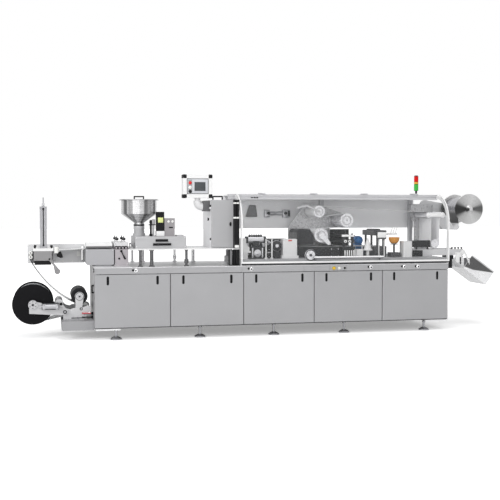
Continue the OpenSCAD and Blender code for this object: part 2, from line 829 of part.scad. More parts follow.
// Feeder's display head and the black mast beside it with its clamp
head_x0 = housing_x0 + 235;
head_y0 = mid_y - 175;
head_base_h = 57;
module feeder_display() {
    corner = 8;
    mast_x = housing_x0 + 182;
    mast_y = mid_y - 105;
    mast_h = 174;
    color("#222226") placed() {
        plate_xy(housing_z + head_base_h, housing_z + 262)
            rounded_2d(head_x0, head_x0 + 85, head_y0, head_y0 + 80, corner);
        bar_z(mast_x, mast_y, housing_z, housing_z + mast_h, 22);
        block(mast_x - 16, mast_x + 16, mast_y - 16, mast_y + 16, housing_z, housing_z + 24);
        block(mast_x - 14, mast_x + 24, mast_y - 14, mast_y + 14,
            housing_z + mast_h - 34, housing_z + mast_h - 8);
    }
}

// Feeder's control box and the foot of the display head
module feeder_controls() {
    x0 = housing_x0 + 322;
    corner = 6;
    color("lightgray") placed() {
        plate_xy(housing_z, housing_z + 193) rounded_2d(x0, x0 + 111, head_y0, head_y0 + 130, corner);
        block(head_x0 - 2, head_x0 + 86, head_y0 - 2, head_y0 + 90, housing_z, housing_z + head_base_h);
    }
}

// Control cabinet with its fixed hinge halves and the lifting bail on top
module control_cabinet() {
    leaf_l = 34;
    barrel_h = 20;
    lip = 8;
    color("gainsboro") placed() {
        block(cab_x0, cab_x1, cab_y0, cab_y1, plate_z, cab_z1);
        block(cab_x0 + lip, cab_x1 - lip, cab_y0 - door_gap + 1, cab_y0, plate_z + 2 * lip, cab_z1 - 2 * lip);
        for (up = hinge_up) {
            z = plate_z + up;
            bar_z(hinge_x, hinge_y, z - barrel_h, z, barrel_d);
            bar_z(hinge_x, hinge_y, z, z + barrel_h, pin_d);
            block(hinge_x - barrel_d / 2, cab_x0, hinge_y + barrel_d / 2 - 4, cab_y0 + leaf_l,
                z - barrel_h, z);
        }
        translate([cab_x0 + cab_w / 2 - 24, mid_y - 75, cab_z1]) bail(104, 45, 10);
    }
}

// Door with eased upright edges and the upper hinge halves that drop over the pins
module cabinet_door() {
    barrel_h = 20;
    lift = 0.5;
    round = 6;
    color("silver") placed() difference() {
        union() {
            plate_xy(plate_z + clear, cab_z1) rounded_2d(cab_x0, cab_x1, door_y0, door_y0 + door_t, round);
            for (up = hinge_up) {
                z = plate_z + up + lift;
                bar_z(hinge_x, hinge_y, z, z + barrel_h, barrel_d);
                block(hinge_x, cab_x0 + round, hinge_y - barrel_d / 2, hinge_y, z, z + barrel_h);
            }
        }
        for (up = hinge_up) {
            z = plate_z + up;
            bar_z(hinge_x, hinge_y, z - 1, z + barrel_h + 2, pin_d + 2 * fit);
        }
    }
}

// Elbow arm of the operator panel: a cast bracket on the cabinet's left side, a round bend and a stepped neck
module hmi_arm() {
    block_l = 78;
    bend_r = elbow_d / 2 + 6;
    neck_h = 24;
    seat_z = hmi_z0 - clear;
    color("whitesmoke") placed() {
        translate([hmi_x + bend_r, hmi_y, elbow_z + bend_r]) rotate([90, 0, 0]) rotate_extrude(angle = 90)
            translate([-bend_r, 0]) circle(d = elbow_d);
        bar_z(hmi_x, hmi_y, elbow_z + bend_r, seat_z - neck_h, elbow_d);
        bar_x(hmi_x + bend_r, cab_x0 - block_l, hmi_y, elbow_z, elbow_d);
        block(cab_x0 - block_l, cab_x0, hmi_y - 50, hmi_y + 50, elbow_z - 50, elbow_z + 60);
        bar_z(hmi_x, hmi_y, seat_z - neck_h, seat_z, 60);
    }
}

// Operator panel with rounded corners and a sunk front, turning on the elbow's neck
hmi_x0 = hmi_x - hmi_w / 2 - 6;
hmi_y0 = hmi_y - 60;
module hmi_box() {
    corner = 22;
    frame = 40;
    sunk = 4;
    color("white") placed() {
        difference() {
            plate_xz(hmi_y0, hmi_y0 + hmi_d)
                rounded_2d(hmi_x0, hmi_x0 + hmi_w, hmi_z0, hmi_z0 + hmi_h, corner);
            block(hmi_x0 + frame, hmi_x0 + hmi_w - frame, hmi_y0 - 1, hmi_y0 + sunk,
                hmi_z0 + frame, hmi_z0 + hmi_h - frame);
        }
        bar_z(hmi_x, hmi_y, hmi_z0 - clear + fit, hmi_z0 + 1, 70);
    }
}

// Cable column beside the control cabinet: a duct, ribbed hoses over it and a guide post under the plate
module cable_column() {
    x0 = guard_x - 62;
    x1 = guard_x - 8;
    y0 = plate_y0 + 4;
    y1 = y0 + 74;
    duct_z = plate_z + 318;
    top_z = guard_z - 66;
    head_h = 25;
    hose_r = 13;
    pitch = 9;
    n = floor((top_z - head_h - duct_z) / pitch);
    low_h = plate_z - plate_t - deck_z;
    low_x = guard_x - 114;
    color("#1e1e20") placed() {
        block(x0, x1, y0, y1, plate_z, duct_z);
        for (x = [x0 + hose_r, x1 - hose_r], y = [y0 + hose_r, y1 - hose_r])
            turned_z(x, y) polygon(ribs(hose_r, 2, pitch, duct_z, n));
        block(x0, x1, y0, y1, duct_z + pitch * n, top_z);
        block(low_x, low_x + 30, y0, y1, deck_z, deck_z + low_h);
        block(x1 - 30, x1, y0, y1, deck_z, deck_z + low_h);
        turned_z((low_x + x1) / 2, y0 + 24) polygon(ribs(20, 3, 12, deck_z, floor(low_h / 12)));
        block(low_x, x1, y0 + 30, y1, deck_z, deck_z + 20);
    }
}

// Bed that carries the sealing and punching stations, with two clamping grooves
module station_bed() {
    groove = 14;
    color("darkgray") placed() difference() {
        block(guard_x + 20, base_l - 10, 40, base_d - 10, deck_z, bed_z);
        for (y = [150, base_d - 130])
            block(guard_x + 19, base_l - 9, y, y + groove, bed_z - groove, bed_z + 1);
    }
}

// White end arches that hold the top beam's ends
module arch_outline() {
    r = hood_r - hood_t - clear;
    y0 = hood_t + clear;
    z1 = guard_z - hood_t - clear;
    translate([y0, deck_z]) square([arch_w, z1 - r - deck_z]);
    intersection() {
        translate([y0 + r, z1 - r]) difference() { circle(r); circle(r - arch_w); }
        translate([y0, z1 - r]) square([r, r]);
    }
    translate([y0 + r, z1 - arch_w]) square([beam_y0 - y0 - r, arch_w]);
}
module end_arches() {
    color("white") placed() for (x = [guard_x, guard_x1 - arch_t]) plate_yz(x, x + arch_t) arch_outline();
}

// Hinges along the hood's top edge: the fixed halves are part of the beam
knuckle_d = 14;
knuckle_l = 40;
knuckle_gap = 1;
leaf_w = 26;
leaf_t = 3;
hinge_n = 4;
hood_axis = [hood_r + 2, guard_z + knuckle_d / 2];
function hinge_at(i) = guard_x + (guard_x1 - guard_x) * (i + 0.5) / hinge_n;

// Top beam: an aluminium section along the guard, slotted at the front and underneath
module top_beam() {
    slot = 8;
    slot_z = guard_z - beam_h / 2 - slot / 2;
    slot_y = (beam_y0 + beam_y1) / 2;
    color("gainsboro") placed() {
        difference() {
            block(beam_x0, guard_x1, beam_y0, beam_y1, guard_z - beam_h, guard_z);
            block(beam_x0 - 1, guard_x1 + 1, beam_y0 - 1, beam_y0 + slot, slot_z, slot_z + slot);
            block(beam_x0 - 1, guard_x1 + 1, slot_y - slot / 2, slot_y + slot / 2,
                guard_z - beam_h - 1, guard_z - beam_h + slot);
        }
        for (i = [0 : hinge_n - 1]) {
            x = hinge_at(i);
            bar_x(x - knuckle_l, x, hood_axis[0], hood_axis[1], knuckle_d);
            bar_x(x, x + knuckle_l, hood_axis[0], hood_axis[1], pin_d);
            block(x - knuckle_l, x, hood_axis[0], beam_y0 + leaf_w, guard_z, guard_z + leaf_t);
        }
    }
}

// Slotted posts along the back that carry the roof
module rear_posts() {
    side = 50;
    slot = 8;
    color("gainsboro") placed()
        for (x = [guard_x + 30, (guard_x + guard_x1) / 2 - 25, guard_x1 - 80]) difference() {
            block(x, x + side, rear_y - side, rear_y, bed_z, guard_z - cover_t);
            block(x + side / 2 - slot / 2, x + side / 2 + slot / 2, rear_y - side - 1, rear_y - side + slot,
                bed_z - 1, guard_z);
        }
}

// Grey roof and upper back cover with a folded lower edge
cover_t = 10;
module rear_cover() {
    cover_z = guard_z - 385;
    lip = 30;
    color("darkgray") placed() plate_yz(guard_x, guard_x1)
        polygon([[beam_y1, guard_z - cover_t], [rear_y, guard_z - cover_t], [rear_y, cover_z],
            [rear_y + cover_t + lip, cover_z], [rear_y + cover_t + lip, cover_z + cover_t],
            [rear_y + cover_t, cover_z + cover_t], [rear_y + cover_t, guard_z], [beam_y1, guard_z]]);
}

// Clear hood: upright front and quarter-round top, hinged at the top beam
module hood_outline(in, out) {
    translate([-out, hood_z0]) square([in + out, guard_z - hood_r - hood_z0]);
    intersection() {
        translate([hood_r, guard_z - hood_r]) difference() { circle(hood_r + out); circle(hood_r - in); }
        translate([-out, guard_z - hood_r]) square([hood_r + out, hood_r + out]);
    }
}
module hood_sheet() {
    color("azure", 0.4) placed() plate_yz(guard_x, guard_x1) hood_outline(hood_t, 0);
}

// Moving hinge halves on the hood's top edge
module hood_hinges() {
    color("silver") placed() for (i = [0 : hinge_n - 1]) {
        x = hinge_at(i) + knuckle_gap;
        difference() {
            union() {
                bar_x(x, x + knuckle_l, hood_axis[0], hood_axis[1], knuckle_d);
                block(x, x + knuckle_l, hood_axis[0] - leaf_w, hood_axis[0], guard_z, guard_z + leaf_t);
            }
            bar_x(x - 1, x + knuckle_l + 1, hood_axis[0], hood_axis[1], pin_d + 2 * fit);
        }
    }
}

// White edge strips on the hood: along its lower edge and round both ends
module hood_trim() {
    strip_h = 20;
    strip_t = 3;
    strip_w = 14;
    color("white") placed() {
        block(guard_x, guard_x1, -strip_t, 0, hood_z0, hood_z0 + strip_h);
        for (x = [guard_x, guard_x1 - strip_w]) plate_yz(x, x + strip_w) hood_outline(0, strip_t);
    }
}

// Long tubular handle on two angled stand-off brackets
handle_l = 785;
handle_up = 82;
handle_left = 7;
module hood_handle() {
    x0 = (guard_x + guard_x1 - handle_l) / 2 - handle_left;
    z = deck_z + handle_up;
    foot = 18;
    tail = 50;
    drop = 34;
    color("whitesmoke") placed() {
        bar_x(x0, x0 + handle_l, -handle_out, z, handle_d);
        for (x = [x0 + foot, x0 + handle_l - 2 * foot]) plate_yz(x, x + foot)
            polygon([[-handle_out, z + 10], [-handle_out, z - 10], [0, z - drop], [0, z + tail - drop]]);
    }
}

// Film index station at the guard's left end: the web's table on legs with a skirt, a low cover over the web,
// the gearbox with its air cylinder and valve row in front, a round motor, and the tall cover over the web
table_t = 14;
seal_x0 = base_l - 1143;
seal_l = 143;
punch_x0 = base_l - 750;
punch_l = 140;
back_y = mid_y + 175;
front_y = mid_y - 175;
module index_station() {
    table_x0 = guard_x + 30;
    table_x1 = seal_x0 - 20;
    table_y0 = web_y0 - 20;
    leg = 40;
    box_x = guard_x + 156;
    box_h = 128;
    cyl_z = bed_z + 205;
    cyl_y = mid_y - 240;
    motor = [guard_x + 446, bed_z + 138];
    motor_r = 60;
    front = mid_y - 310;
    cover_x = seal_x0 - 512;
    low_x0 = guard_x + 70;
    low_x1 = guard_x + 640;
    low_h = 86;
    low_t = 14;
    skirt_t = 8;
    color("dimgray") placed() {
        block(table_x0, table_x1, table_y0, back_y - 1, plate_z - table_t, plate_z);
        block(table_x0, table_x1, table_y0, table_y0 + skirt_t, bed_z, plate_z - table_t);
        block(low_x0, low_x1, table_y0, web_y0 - 3, plate_z, plate_z + low_h);
        block(low_x0, low_x1, table_y0, web_y1 - 5, plate_z + low_h - low_t, plate_z + low_h);
        for (x = [table_x0 + 20, (table_x0 + table_x1) / 2, table_x1 - 80],
            y = [table_y0 + 10, back_y - 60])
            block(x, x + leg, y, y + leg, bed_z, plate_z - table_t);
        block(box_x, box_x + 140, front, table_y0 - 5, bed_z, bed_z + box_h);
        block(box_x + 30, box_x + 100, cyl_y - 30, cyl_y + 30, bed_z + box_h, cyl_z);
        bar_x(box_x - 40, box_x + 160, cyl_y, cyl_z, 64);
        for (x = [box_x - 50, box_x + 150])
            block(x, x + 24, cyl_y - 36, cyl_y + 36, cyl_z - 36, cyl_z + 36);
        for (i = [0 : 5], x = box_x - 14 + 26 * i)
            block(x, x + 18, cyl_y - 16, cyl_y + 16, cyl_z + 28, cyl_z + 52);
        turned_y(motor[0], motor[1])
            polygon([[0, front], [34, front], [motor_r - 8, front + 14], [motor_r, front + 22],
                [motor_r, front + 44], [motor_r - 6, front + 46], [motor_r - 6, table_y0 - 20],
                [0, table_y0 - 20]]);
        block(motor[0] - 40, motor[0] + 40, front + 40, table_y0 - 20, bed_z, motor[1]);
        plate_xz(front_y + 10, back_y) polygon([[cover_x, plate_z + 22], [cover_x + 190, plate_z + 22],
            [cover_x + 190, plate_z + 120], [cover_x + 150, plate_z + 196], [cover_x + 24, plate_z + 196],
            [cover_x, plate_z + 160]]);
    }
}

// Guide rollers of the lidding foil on their back plates, the lever on the lowest of them and the hand wheel
// on the bed's front edge
roller_a = [seal_x0 - 254, guard_z - 190, 64, 1];
roller_b = [seal_x0 + 70, guard_z - 289, 76, -1];
roller_c = [seal_x0 - 230, bed_z + 245, 77, 1];
high_z = guard_z - 230;
drop_a = [base_l + 85, high_z, 32, 1];
drop_b = [base_l, bed_z + 143, 50, -1];
drop_c = [base_l - 85, high_z, 32, 1];
wheel = [seal_x0 - 455, bed_z + 43];
wheel_r = 62;
back_t = 12;
plate_back = 520;
module roller(r) {
    rim = 9;
    dish = 6;
    hub = r[2] * 0.35;
    y0 = front_y + 2;
    y1 = back_y - 8;
    turned_y(r[0], r[1])
        polygon([[0, y0], [hub, y0], [hub, y0 + dish], [r[2] - rim, y0 + dish], [r[2] - rim, y0],
            [r[2], y0], [r[2], y1], [hub, y1], [hub, back_y], [0, back_y]]);
}
module foil_rollers() {
    lever_t = 12;
    lever_end = [roller_c[0] + 78, roller_c[1] - 84];
    left = seal_x0 - plate_back;
    right = roller_b[0] + 82;
    post_y0 = 44;
    post_y1 = 92;
    wheel_y = hood_t + clear + 4;
    color("silver") placed() {
        for (r = [roller_a, roller_b, roller_c, drop_a, drop_b, drop_c]) roller(r);
        plate_xz(back_y, back_y + back_t) {
            polygon([[left, bed_z], [seal_x0 - 20, bed_z], [seal_x0 - 20, roller_b[1] - 96],
                [right, roller_b[1] - 84], [right, roller_b[1] + 74], [roller_a[0] + 90, roller_a[1] + 80],
                [roller_a[0] - 70, roller_a[1] + 80], [left, roller_c[1] + 95]]);
            polygon([[drop_c[0] - 30, bed_z], [drop_b[0] - 20, bed_z], [drop_b[0] + 70, drop_b[1] - 60],
                [drop_b[0] + 70, drop_b[1] + 60], [drop_a[0] + 36, high_z - 40],
                [drop_a[0] + 36, high_z + 120], [drop_c[0] - 70, high_z + 120],
                [drop_c[0] - 70, high_z - 40], [drop_c[0] - 30, high_z - 80]]);
        }
        bar_y(roller_c[0], front_y - lever_t, front_y + 2, roller_c[1], 44);
        plate_xz(front_y - 2 * lever_t, front_y - lever_t)
            link_2d([roller_c[0], roller_c[1]], lever_end, 36, 22);
        turned_y(wheel[0], wheel[1])
            polygon([[0, wheel_y], [20, wheel_y], [20, wheel_y + 6], [wheel_r - 14, wheel_y + 6],
                [wheel_r - 10, wheel_y], [wheel_r - 3, wheel_y], [wheel_r, wheel_y + 5],
                [wheel_r, wheel_y + 15], [wheel_r - 3, wheel_y + 20], [wheel_r - 10, wheel_y + 20],
                [wheel_r - 14, wheel_y + 14], [12, wheel_y + 14], [12, post_y1], [0, post_y1]]);
        block(wheel[0] - 30, wheel[0] + 30, post_y0, post_y1, bed_z, wheel[1] + 30);
    }
}

// Lidding foil: from its reel under the dancer, down and up through the storage rollers, along the guard's
// top, round the three guide rollers and into the sealing press on top of the film
dancer_back = 145;
dancer_drop = 210;
dancer_r = 30;
dancer = [foil_cx - dancer_back, foil_z - dancer_drop, dancer_r, -1];
module foil_web() {
    wound = [foil_cx, foil_z, foil_roll_r + strip_r, 1];
    thick = [0, 0, strip_r, 0];
    r = [for (q = [dancer, drop_a, drop_b, drop_c, roller_a, roller_b, roller_c]) q + thick];
    seal = [seal_x0 - 10, level_z + strip_r + web_t / 2, 0, 1];
    in = run(wound, r[0]);
    way = concat([in], [for (i = [0 : 5]) run(r[i], r[i + 1])], [run(r[6], seal)]);
    route = concat([past(wound, in)], [for (i = [0 : 6]) each wrap(r[i], way[i], way[i + 1])],
        [[seal[0], seal[1]], [seal_x0 + seal_l, seal[1]]]);
    color("lightgray") placed() plate_xz(web_y0, web_y1) ribbon(route, web_t);
}

// Sealing press: grooved lower table, four columns with springs, the heated platen, top plate and cylinder
module sealing_press() {
    x0 = seal_x0;
    x1 = seal_x0 + seal_l;
    platen_z = plate_z + 40;
    platen_h = 38;
    spring_h = 33;
    top_z = platen_z + platen_h + spring_h;
    top_h = 20;
    rib_n = 5;
    rib_w = 12;
    rib_p = (seal_l - rib_w) / rib_n;
    color("dimgray") placed() {
        difference() {
            block(x0, x1, station_y0, station_y1, bed_z, plate_z - 26);
            for (i = [0 : rib_n - 1], x = x0 + rib_w + i * rib_p)
                block(x, x + rib_w, station_y0 - 1, station_y0 + 10, bed_z + 12, plate_z - 40);
        }
        block(x0 - 6, x1 + 6, station_y0, station_y1, plate_z - 26, plate_z);
        for (x = [x0 + 22, x1 - 22], y = [web_y0 - 30, web_y1 + 30]) {
            bar_z(x, y, plate_z, top_z + top_h + 16, 24);
            turned_z(x, y) polygon(ribs(19, 4, spring_h / 4, platen_z + platen_h, 4));
        }
        block(x0, x1, station_y0, station_y1, platen_z, platen_z + platen_h);
        block(x0 - 4, x1 + 4, station_y0, station_y1, top_z, top_z + top_h);
        bar_z((x0 + x1) / 2, mid_y, platen_z + platen_h, top_z, 30);
        bar_z((x0 + x1) / 2, mid_y, top_z + top_h, top_z + top_h + 54, 84);
    }
}

// Blue drive motor behind the web: cooling ribs, end bell and foot
module drive_motors() {
    x = base_l - 780;
    z = bed_z + 173;
    y0 = back_y + 45;
    r = 52;
    rib_n = 8;
    rib_p = 12;
    y1 = y0 + 30 + rib_n * rib_p;
    color("royalblue") placed() {
        turned_y(x, z) {
            polygon([[0, y0], [20, y0], [r - 12, y0 + 8], [r - 4, y0 + 30], [0, y0 + 30]]);
            polygon(ribs(r, 6, rib_p, y0 + 30, rib_n));
            polygon([[0, y1], [r - 2, y1], [r - 2, y1 + 26], [r - 14, y1 + 34], [0, y1 + 34]]);
        }
        block(x - 40, x + 40, y0 + 30, y1, bed_z, z - r + 12);
    }
}

// Punching station: die table, columns, head with its front lug, and the stand of the count bowl
lug_z = plate_z + 80;
die_front = 205;
die_rear = 210;
module punch_station() {
    x0 = punch_x0;
    x1 = punch_x0 + punch_l;
    y0 = mid_y - die_front;
    y1 = mid_y + die_rear;
    head_z = plate_z + 120;
    head_h = 60;
    stand_x = base_l - 592;
    color("#303034") placed() {
        block(x0, x1, y0, y1, bed_z, plate_z);
        for (x = [x0 + 34, x1 - 34], y = [web_y0 - 17, web_y1 + 17]) bar_z(x, y, plate_z, head_z, 26);
        block(x0, x1, y0, y1, head_z, head_z + head_h);
        block(x0 + 20, x1 - 20, mid_y - 60, mid_y + 120, head_z + head_h, head_z + head_h + 14);
        block(x0 + 18, x1 - 18, y0 - 40, y0, lug_z, head_z + head_h - 12);
        block(stand_x, stand_x + 116, y0 - 90, y0 + 20, bed_z, bed_z + 52);
        bar_z(stand_x + 58, y0 - 35, bed_z + 52, bed_z + 140, 24);
        bar_z(stand_x + 58, y0 - 35, bed_z + 140, bed_z + 148, 90);
    }
}

// White covers and small posts on the station bed: valve block, two guide posts, coding box, drive cover,
// the cone on its stem, the punch's two rods and the reject bin beside the count bowl
module bed_fittings() {
    valve_x = guard_x + 30;
    code_x = guard_x + 511;
    post_y = mid_y - 332;
    box_y0 = mid_y - 325;
    box_y1 = mid_y - 195;
    cover_x = base_l - 1006;
    cone_x = base_l - 859;
    cone_y = mid_y - 265;
    bin_x = base_l - 452;
    bin_l = 104;
    bin_h = 178;
    color("white") placed() {
        block(valve_x + 12, valve_x + 84, box_y0, box_y1, bed_z, bed_z + 66);
        block(valve_x, valve_x + 116, box_y0 - 6, box_y1, bed_z + 66, bed_z + 84);
        plate_xz(box_y0 + 8, box_y1 - 10) polygon([[valve_x + 16, bed_z + 84], [valve_x + 104, bed_z + 84],
            [valve_x + 104, bed_z + 124], [valve_x + 66, bed_z + 160], [valve_x + 66, bed_z + 222],
            [valve_x + 16, bed_z + 222]]);
        for (x = [guard_x + 316, guard_x + 381]) {
            bar_z(x, post_y, bed_z, bed_z + 214, 16);
            bar_z(x, post_y, bed_z, bed_z + 12, 34);
        }
        block(code_x - 12, code_x + 174, box_y0, box_y1, bed_z, bed_z + 30);
        plate_xy(bed_z + 30, bed_z + 211) rounded_2d(code_x, code_x + 160, box_y0 + 6, box_y1, 8);
        block(cover_x, cover_x + 71, box_y0, station_y0 - 5, bed_z, bed_z + 92);
        turned_z(cone_x, cone_y)
            polygon([[0, bed_z], [34, bed_z], [34, bed_z + 10], [18, bed_z + 10], [18, bed_z + 74],
                [54, bed_z + 78], [54, bed_z + 88], [44, bed_z + 92], [12, bed_z + 200], [12, bed_z + 214],
                [0, bed_z + 214]]);
        for (x = [punch_x0 + 39, punch_x0 + 105]) bar_z(x, mid_y - 225, bed_z, lug_z, 16);
        plate_xy(bed_z, bed_z + bin_h) rounded_2d(bin_x, bin_x + bin_l, box_y0, box_y1, 12);
    }
}

// Outfeed conveyor: two side rails on a foot plate with round transport rollers between them
rail_t = 22;
module outfeed_bed() {
    roller_r = 22;
    pitch = 86;
    n = 7;
    color("silver") placed() {
        for (y = [front_y, back_y - rail_t]) block(out_x0, out_x1, y, y + rail_t, out_z0, out_z1);
        for (i = [0 : n - 1])
            bar_y(out_x0 + 44 + pitch * i, front_y + rail_t, back_y - rail_t, out_z1 - 26, 2 * roller_r);
        block(out_x0, base_l - 40, front_y, back_y, bed_z, out_z0);
        for (x = [out_x0 + 20, out_x1 - 60])
            block(x, x + 40, front_y + rail_t, back_y - rail_t, out_z0, out_z0 + 16);
    }
}

// Black gear motor under the outfeed and the sensor bank on its front rail
module outfeed_motor() {
    x0 = base_l + 149;
    x1 = base_l + 216;
    y0 = mid_y - 200;
    y1 = mid_y - 40;
    bank_x0 = base_l - 285;
    bank_x1 = base_l - 72;
    bank_z = out_z1 + 26;
    color("#202022") placed() {
        block(x0, x1, y0, y1, out_z0 - 44, out_z0);
        bar_z((x0 + x1) / 2, y0 + 40, out_z0 - 150, out_z0 - 44, x1 - x0);
        for (x = [out_x0 + 10, bank_x1 - 30]) block(x, x + 16, front_y, front_y + 18, out_z1, bank_z);
        block(bank_x0, bank_x1, front_y - 16, front_y + 20, bank_z, bank_z + 78);
    }
}

// Chute: a polished sheet trough, open at its top and both ends
module outfeed_chute() {
    sheet = 3;
    color("silver") placed()
        translate([chute_x, mid_y - chute_w / 2, chute_z]) rotate([0, chute_slope, 0]) difference() {
            cube([chute_l, chute_w, chute_h]);
            translate([-1, sheet, sheet]) cube([chute_l + 2, chute_w - 2 * sheet, chute_h]);
        }
}

// Straps that hang the chute from the outfeed frame
module chute_straps() {
    strap_t = 5;
    strap_w = 40;
    in = 10;
    color("white") placed()
        for (side = [-1, 1]) {
            y0 = side < 0 ? mid_y - chute_w / 2 - strap_t : mid_y + chute_w / 2;
            inner = side < 0 ? mid_y - chute_w / 2 : back_y;
            outer = side < 0 ? front_y : mid_y + chute_w / 2;
            plate_xz(y0, y0 + strap_t) polygon([[out_x1 - strap_w, out_z0 + in], [out_x1, out_z0 + in],
                [chute_x + 70, chute_z + 40], [chute_x + 70, chute_z + 90], [out_x1, out_z1 - in],
                [out_x1 - strap_w, out_z1 - in]]);
            block(out_x1 - strap_w, out_x1, inner, outer, out_z0 + in, out_z1 - in);
        }
}

// Plate and axle that carry the lidding foil's reel, with the dancer roller on its hanging arm
module reel_bracket() {
    y0 = reel_y1 + hub_l + clear;
    y1 = y0 + 16;
    elbow = [foil_cx - 110, foil_z + 20];
    color("lightgray") placed() {
        plate_xz(y0, y1) {
            link_2d([foil_cx, foil_z], [guard_x1 + 40, foil_z + 40], 50, 70);
            link_2d(elbow, [dancer[0], dancer[1]], 46, 34);
        }
        block(guard_x1 - 80, guard_x1 + 60, y0, rear_y - 50, foil_z, foil_z + 60);
        bar_y(foil_cx, reel_y0 - hub_l - 16, y0, foil_z, axle_d);
        bar_y(dancer[0], front_y + 2, y0, dancer[1], 2 * dancer[2]);
    }
}

module foil_roll() {
    color("dimgray") placed() difference() {
        bar_y(foil_cx, web_y0, web_y1, foil_z, 2 * foil_roll_r);
        bar_y(foil_cx, web_y0 - 1, web_y1 + 1, foil_z, axle_d + 2 * fit);
    }
}

// Spun flanges of the foil reel: a clamping cone at the front and a plain hub at the back
module foil_flanges() {
    ease = 2;
    cone_r = 44;
    tip_r = bore_r + 5;
    color("silver") placed() turned_y(foil_cx, foil_z) {
        for (y = [reel_y0, reel_y1 - flange_t]) ring_2d(bore_r, foil_r, y, y + flange_t, ease);
        polygon([[bore_r, reel_y0 - hub_l - 10], [tip_r, reel_y0 - hub_l - 10], [cone_r, reel_y0 - 8],
            [cone_r, reel_y0 + 1], [bore_r, reel_y0 + 1]]);
        for (y = [reel_y0 + flange_t - 1, web_y1])
            translate([bore_r, y]) square([hub_r - bore_r, reel_gap + 1]);
        translate([bore_r, reel_y1 - 1]) square([hub_r - bore_r, hub_l + 1]);
    }
}

// Signal tower on the roof: foot, stem, three lamp modules with grooves between them and a cap
module tower_light() {
    r = 24;
    foot_h = 8;
    stem_h = 50;
    lamp_h = [75, 25, 76];
    groove = 2;
    z0 = guard_z + stem_h;
    z1 = z0 + lamp_h[0];
    z2 = z1 + lamp_h[1];
    z3 = z2 + lamp_h[2];
    color("firebrick") placed() turned_z(base_l - 200, beam_y1 + 62)
        polygon([[0, guard_z], [r, guard_z], [r, guard_z + foot_h], [r / 2, guard_z + foot_h],
            [r / 2, z0 - 4], [r, z0], [r, z1 - groove], [r - groove, z1], [r, z1 + groove], [r, z2 - groove],
            [r - groove, z2], [r, z2 + groove], [r, z3 - 10], [r - 6, z3], [0, z3]]);
}

base_pan();
frame_posts();
cabinet_walls();
deck_plate();
front_panels();
rear_panels();
panel_grips();
levelling_feet();
unwind_beam();
unwind_bracket();
unwind_arms();
brake_cylinder();
film_roll();
reel_flanges();
tension_roller();
film_web();
infeed_plate();
infeed_rollers();
splice_press();
splice_cap();
splice_cylinder();
heating_station();
heating_cover();
forming_unit();
feeder_plate();
feeder_posts();
feeder_housing();
hopper();
hopper_lid();
feeder_display();
feeder_controls();
control_cabinet();
cabinet_door();
hmi_arm();
hmi_box();
cable_column();
station_bed();
end_arches();
top_beam();
rear_posts();
rear_cover();
hood_sheet();
hood_trim();
hood_hinges();
hood_handle();
index_station();
foil_rollers();
foil_web();
sealing_press();
drive_motors();
punch_station();
bed_fittings();
outfeed_bed();
outfeed_motor();
outfeed_chute();
chute_straps();
reel_bracket();
foil_roll();
foil_flanges();
tower_light();
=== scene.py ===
import math

import bmesh
import bpy
from mathutils import Matrix, Vector


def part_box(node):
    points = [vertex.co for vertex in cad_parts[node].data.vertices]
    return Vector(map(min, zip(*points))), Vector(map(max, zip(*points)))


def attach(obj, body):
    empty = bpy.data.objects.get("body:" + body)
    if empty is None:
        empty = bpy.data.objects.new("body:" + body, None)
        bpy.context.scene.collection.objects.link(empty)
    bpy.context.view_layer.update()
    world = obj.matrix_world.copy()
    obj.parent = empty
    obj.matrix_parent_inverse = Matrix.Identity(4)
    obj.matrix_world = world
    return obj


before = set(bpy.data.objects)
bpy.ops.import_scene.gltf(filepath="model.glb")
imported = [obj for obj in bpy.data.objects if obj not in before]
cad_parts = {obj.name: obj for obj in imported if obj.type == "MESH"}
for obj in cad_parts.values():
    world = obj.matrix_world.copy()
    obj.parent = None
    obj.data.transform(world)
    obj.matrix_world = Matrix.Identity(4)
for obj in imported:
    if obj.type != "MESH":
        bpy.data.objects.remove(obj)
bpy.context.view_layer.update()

# The viewpoint: a camera about nine metres in front of the machine's left end, at chest height and turned
# a little to the right. Sizes in this file are the drawing's millimetres, counted from the cabinet's front
# left corner on the floor.
drawing = Matrix.Scale(0.001, 4) @ Matrix.Translation((-1904.048, -491.0, 0.0))
scene = bpy.context.scene
scene.view_settings.view_transform = "Standard"
viewpoint = Vector((-465.0, -9170.0, 1318.0))
turn = math.radians(12.85)
tilt = math.radians(-2.44)
look = Vector((math.sin(turn) * math.cos(tilt), math.cos(turn) * math.cos(tilt), math.sin(tilt)))
focal_pixels = 889.0
photo_pixels = 500.0
camera = bpy.data.objects.new("camera", bpy.data.cameras.new("camera"))
scene.collection.objects.link(camera)
camera.location = drawing @ viewpoint
camera.rotation_mode = "QUATERNION"
camera.rotation_quaternion = look.to_track_quat("-Z", "Y")
camera.data.sensor_width = 36.0
camera.data.lens = focal_pixels / photo_pixels * camera.data.sensor_width
camera.data.clip_end = 300.0
scene.camera = camera

# The studio: white all round as the camera, metal and glass see it, though it lights the machine only about
# half as strongly, with a large soft light from the left, a lower one from behind the viewpoint that
# reaches the mechanism under the guard, and a weak one overhead.
world = bpy.data.worlds.new("studio")
scene.world = world
world.use_nodes = True
sky = world.node_tree
sky.nodes.clear()
sky_lights = 0.54
sky_shows = 1.0


def feed(tree, socket, value):
    if isinstance(value, bpy.types.NodeSocket):
        tree.links.new(value, socket)
    else:
        socket.default_value = value


def sums(tree, operation, a, b):
    node = tree.nodes.new("ShaderNodeMath")
    node.operation = operation
    feed(tree, node.inputs[0], a)
    feed(tree, node.inputs[1], b)
    return node.outputs[0]


def spread(tree, source, low, high, to_low, to_high):
    node = tree.nodes.new("ShaderNodeMapRange")
    limits = {"Value": source, "From Min": low, "From Max": high, "To Min": to_low, "To Max": to_high}
    for label, value in limits.items():
        feed(tree, node.inputs[label], value)
    return node.outputs["Result"]


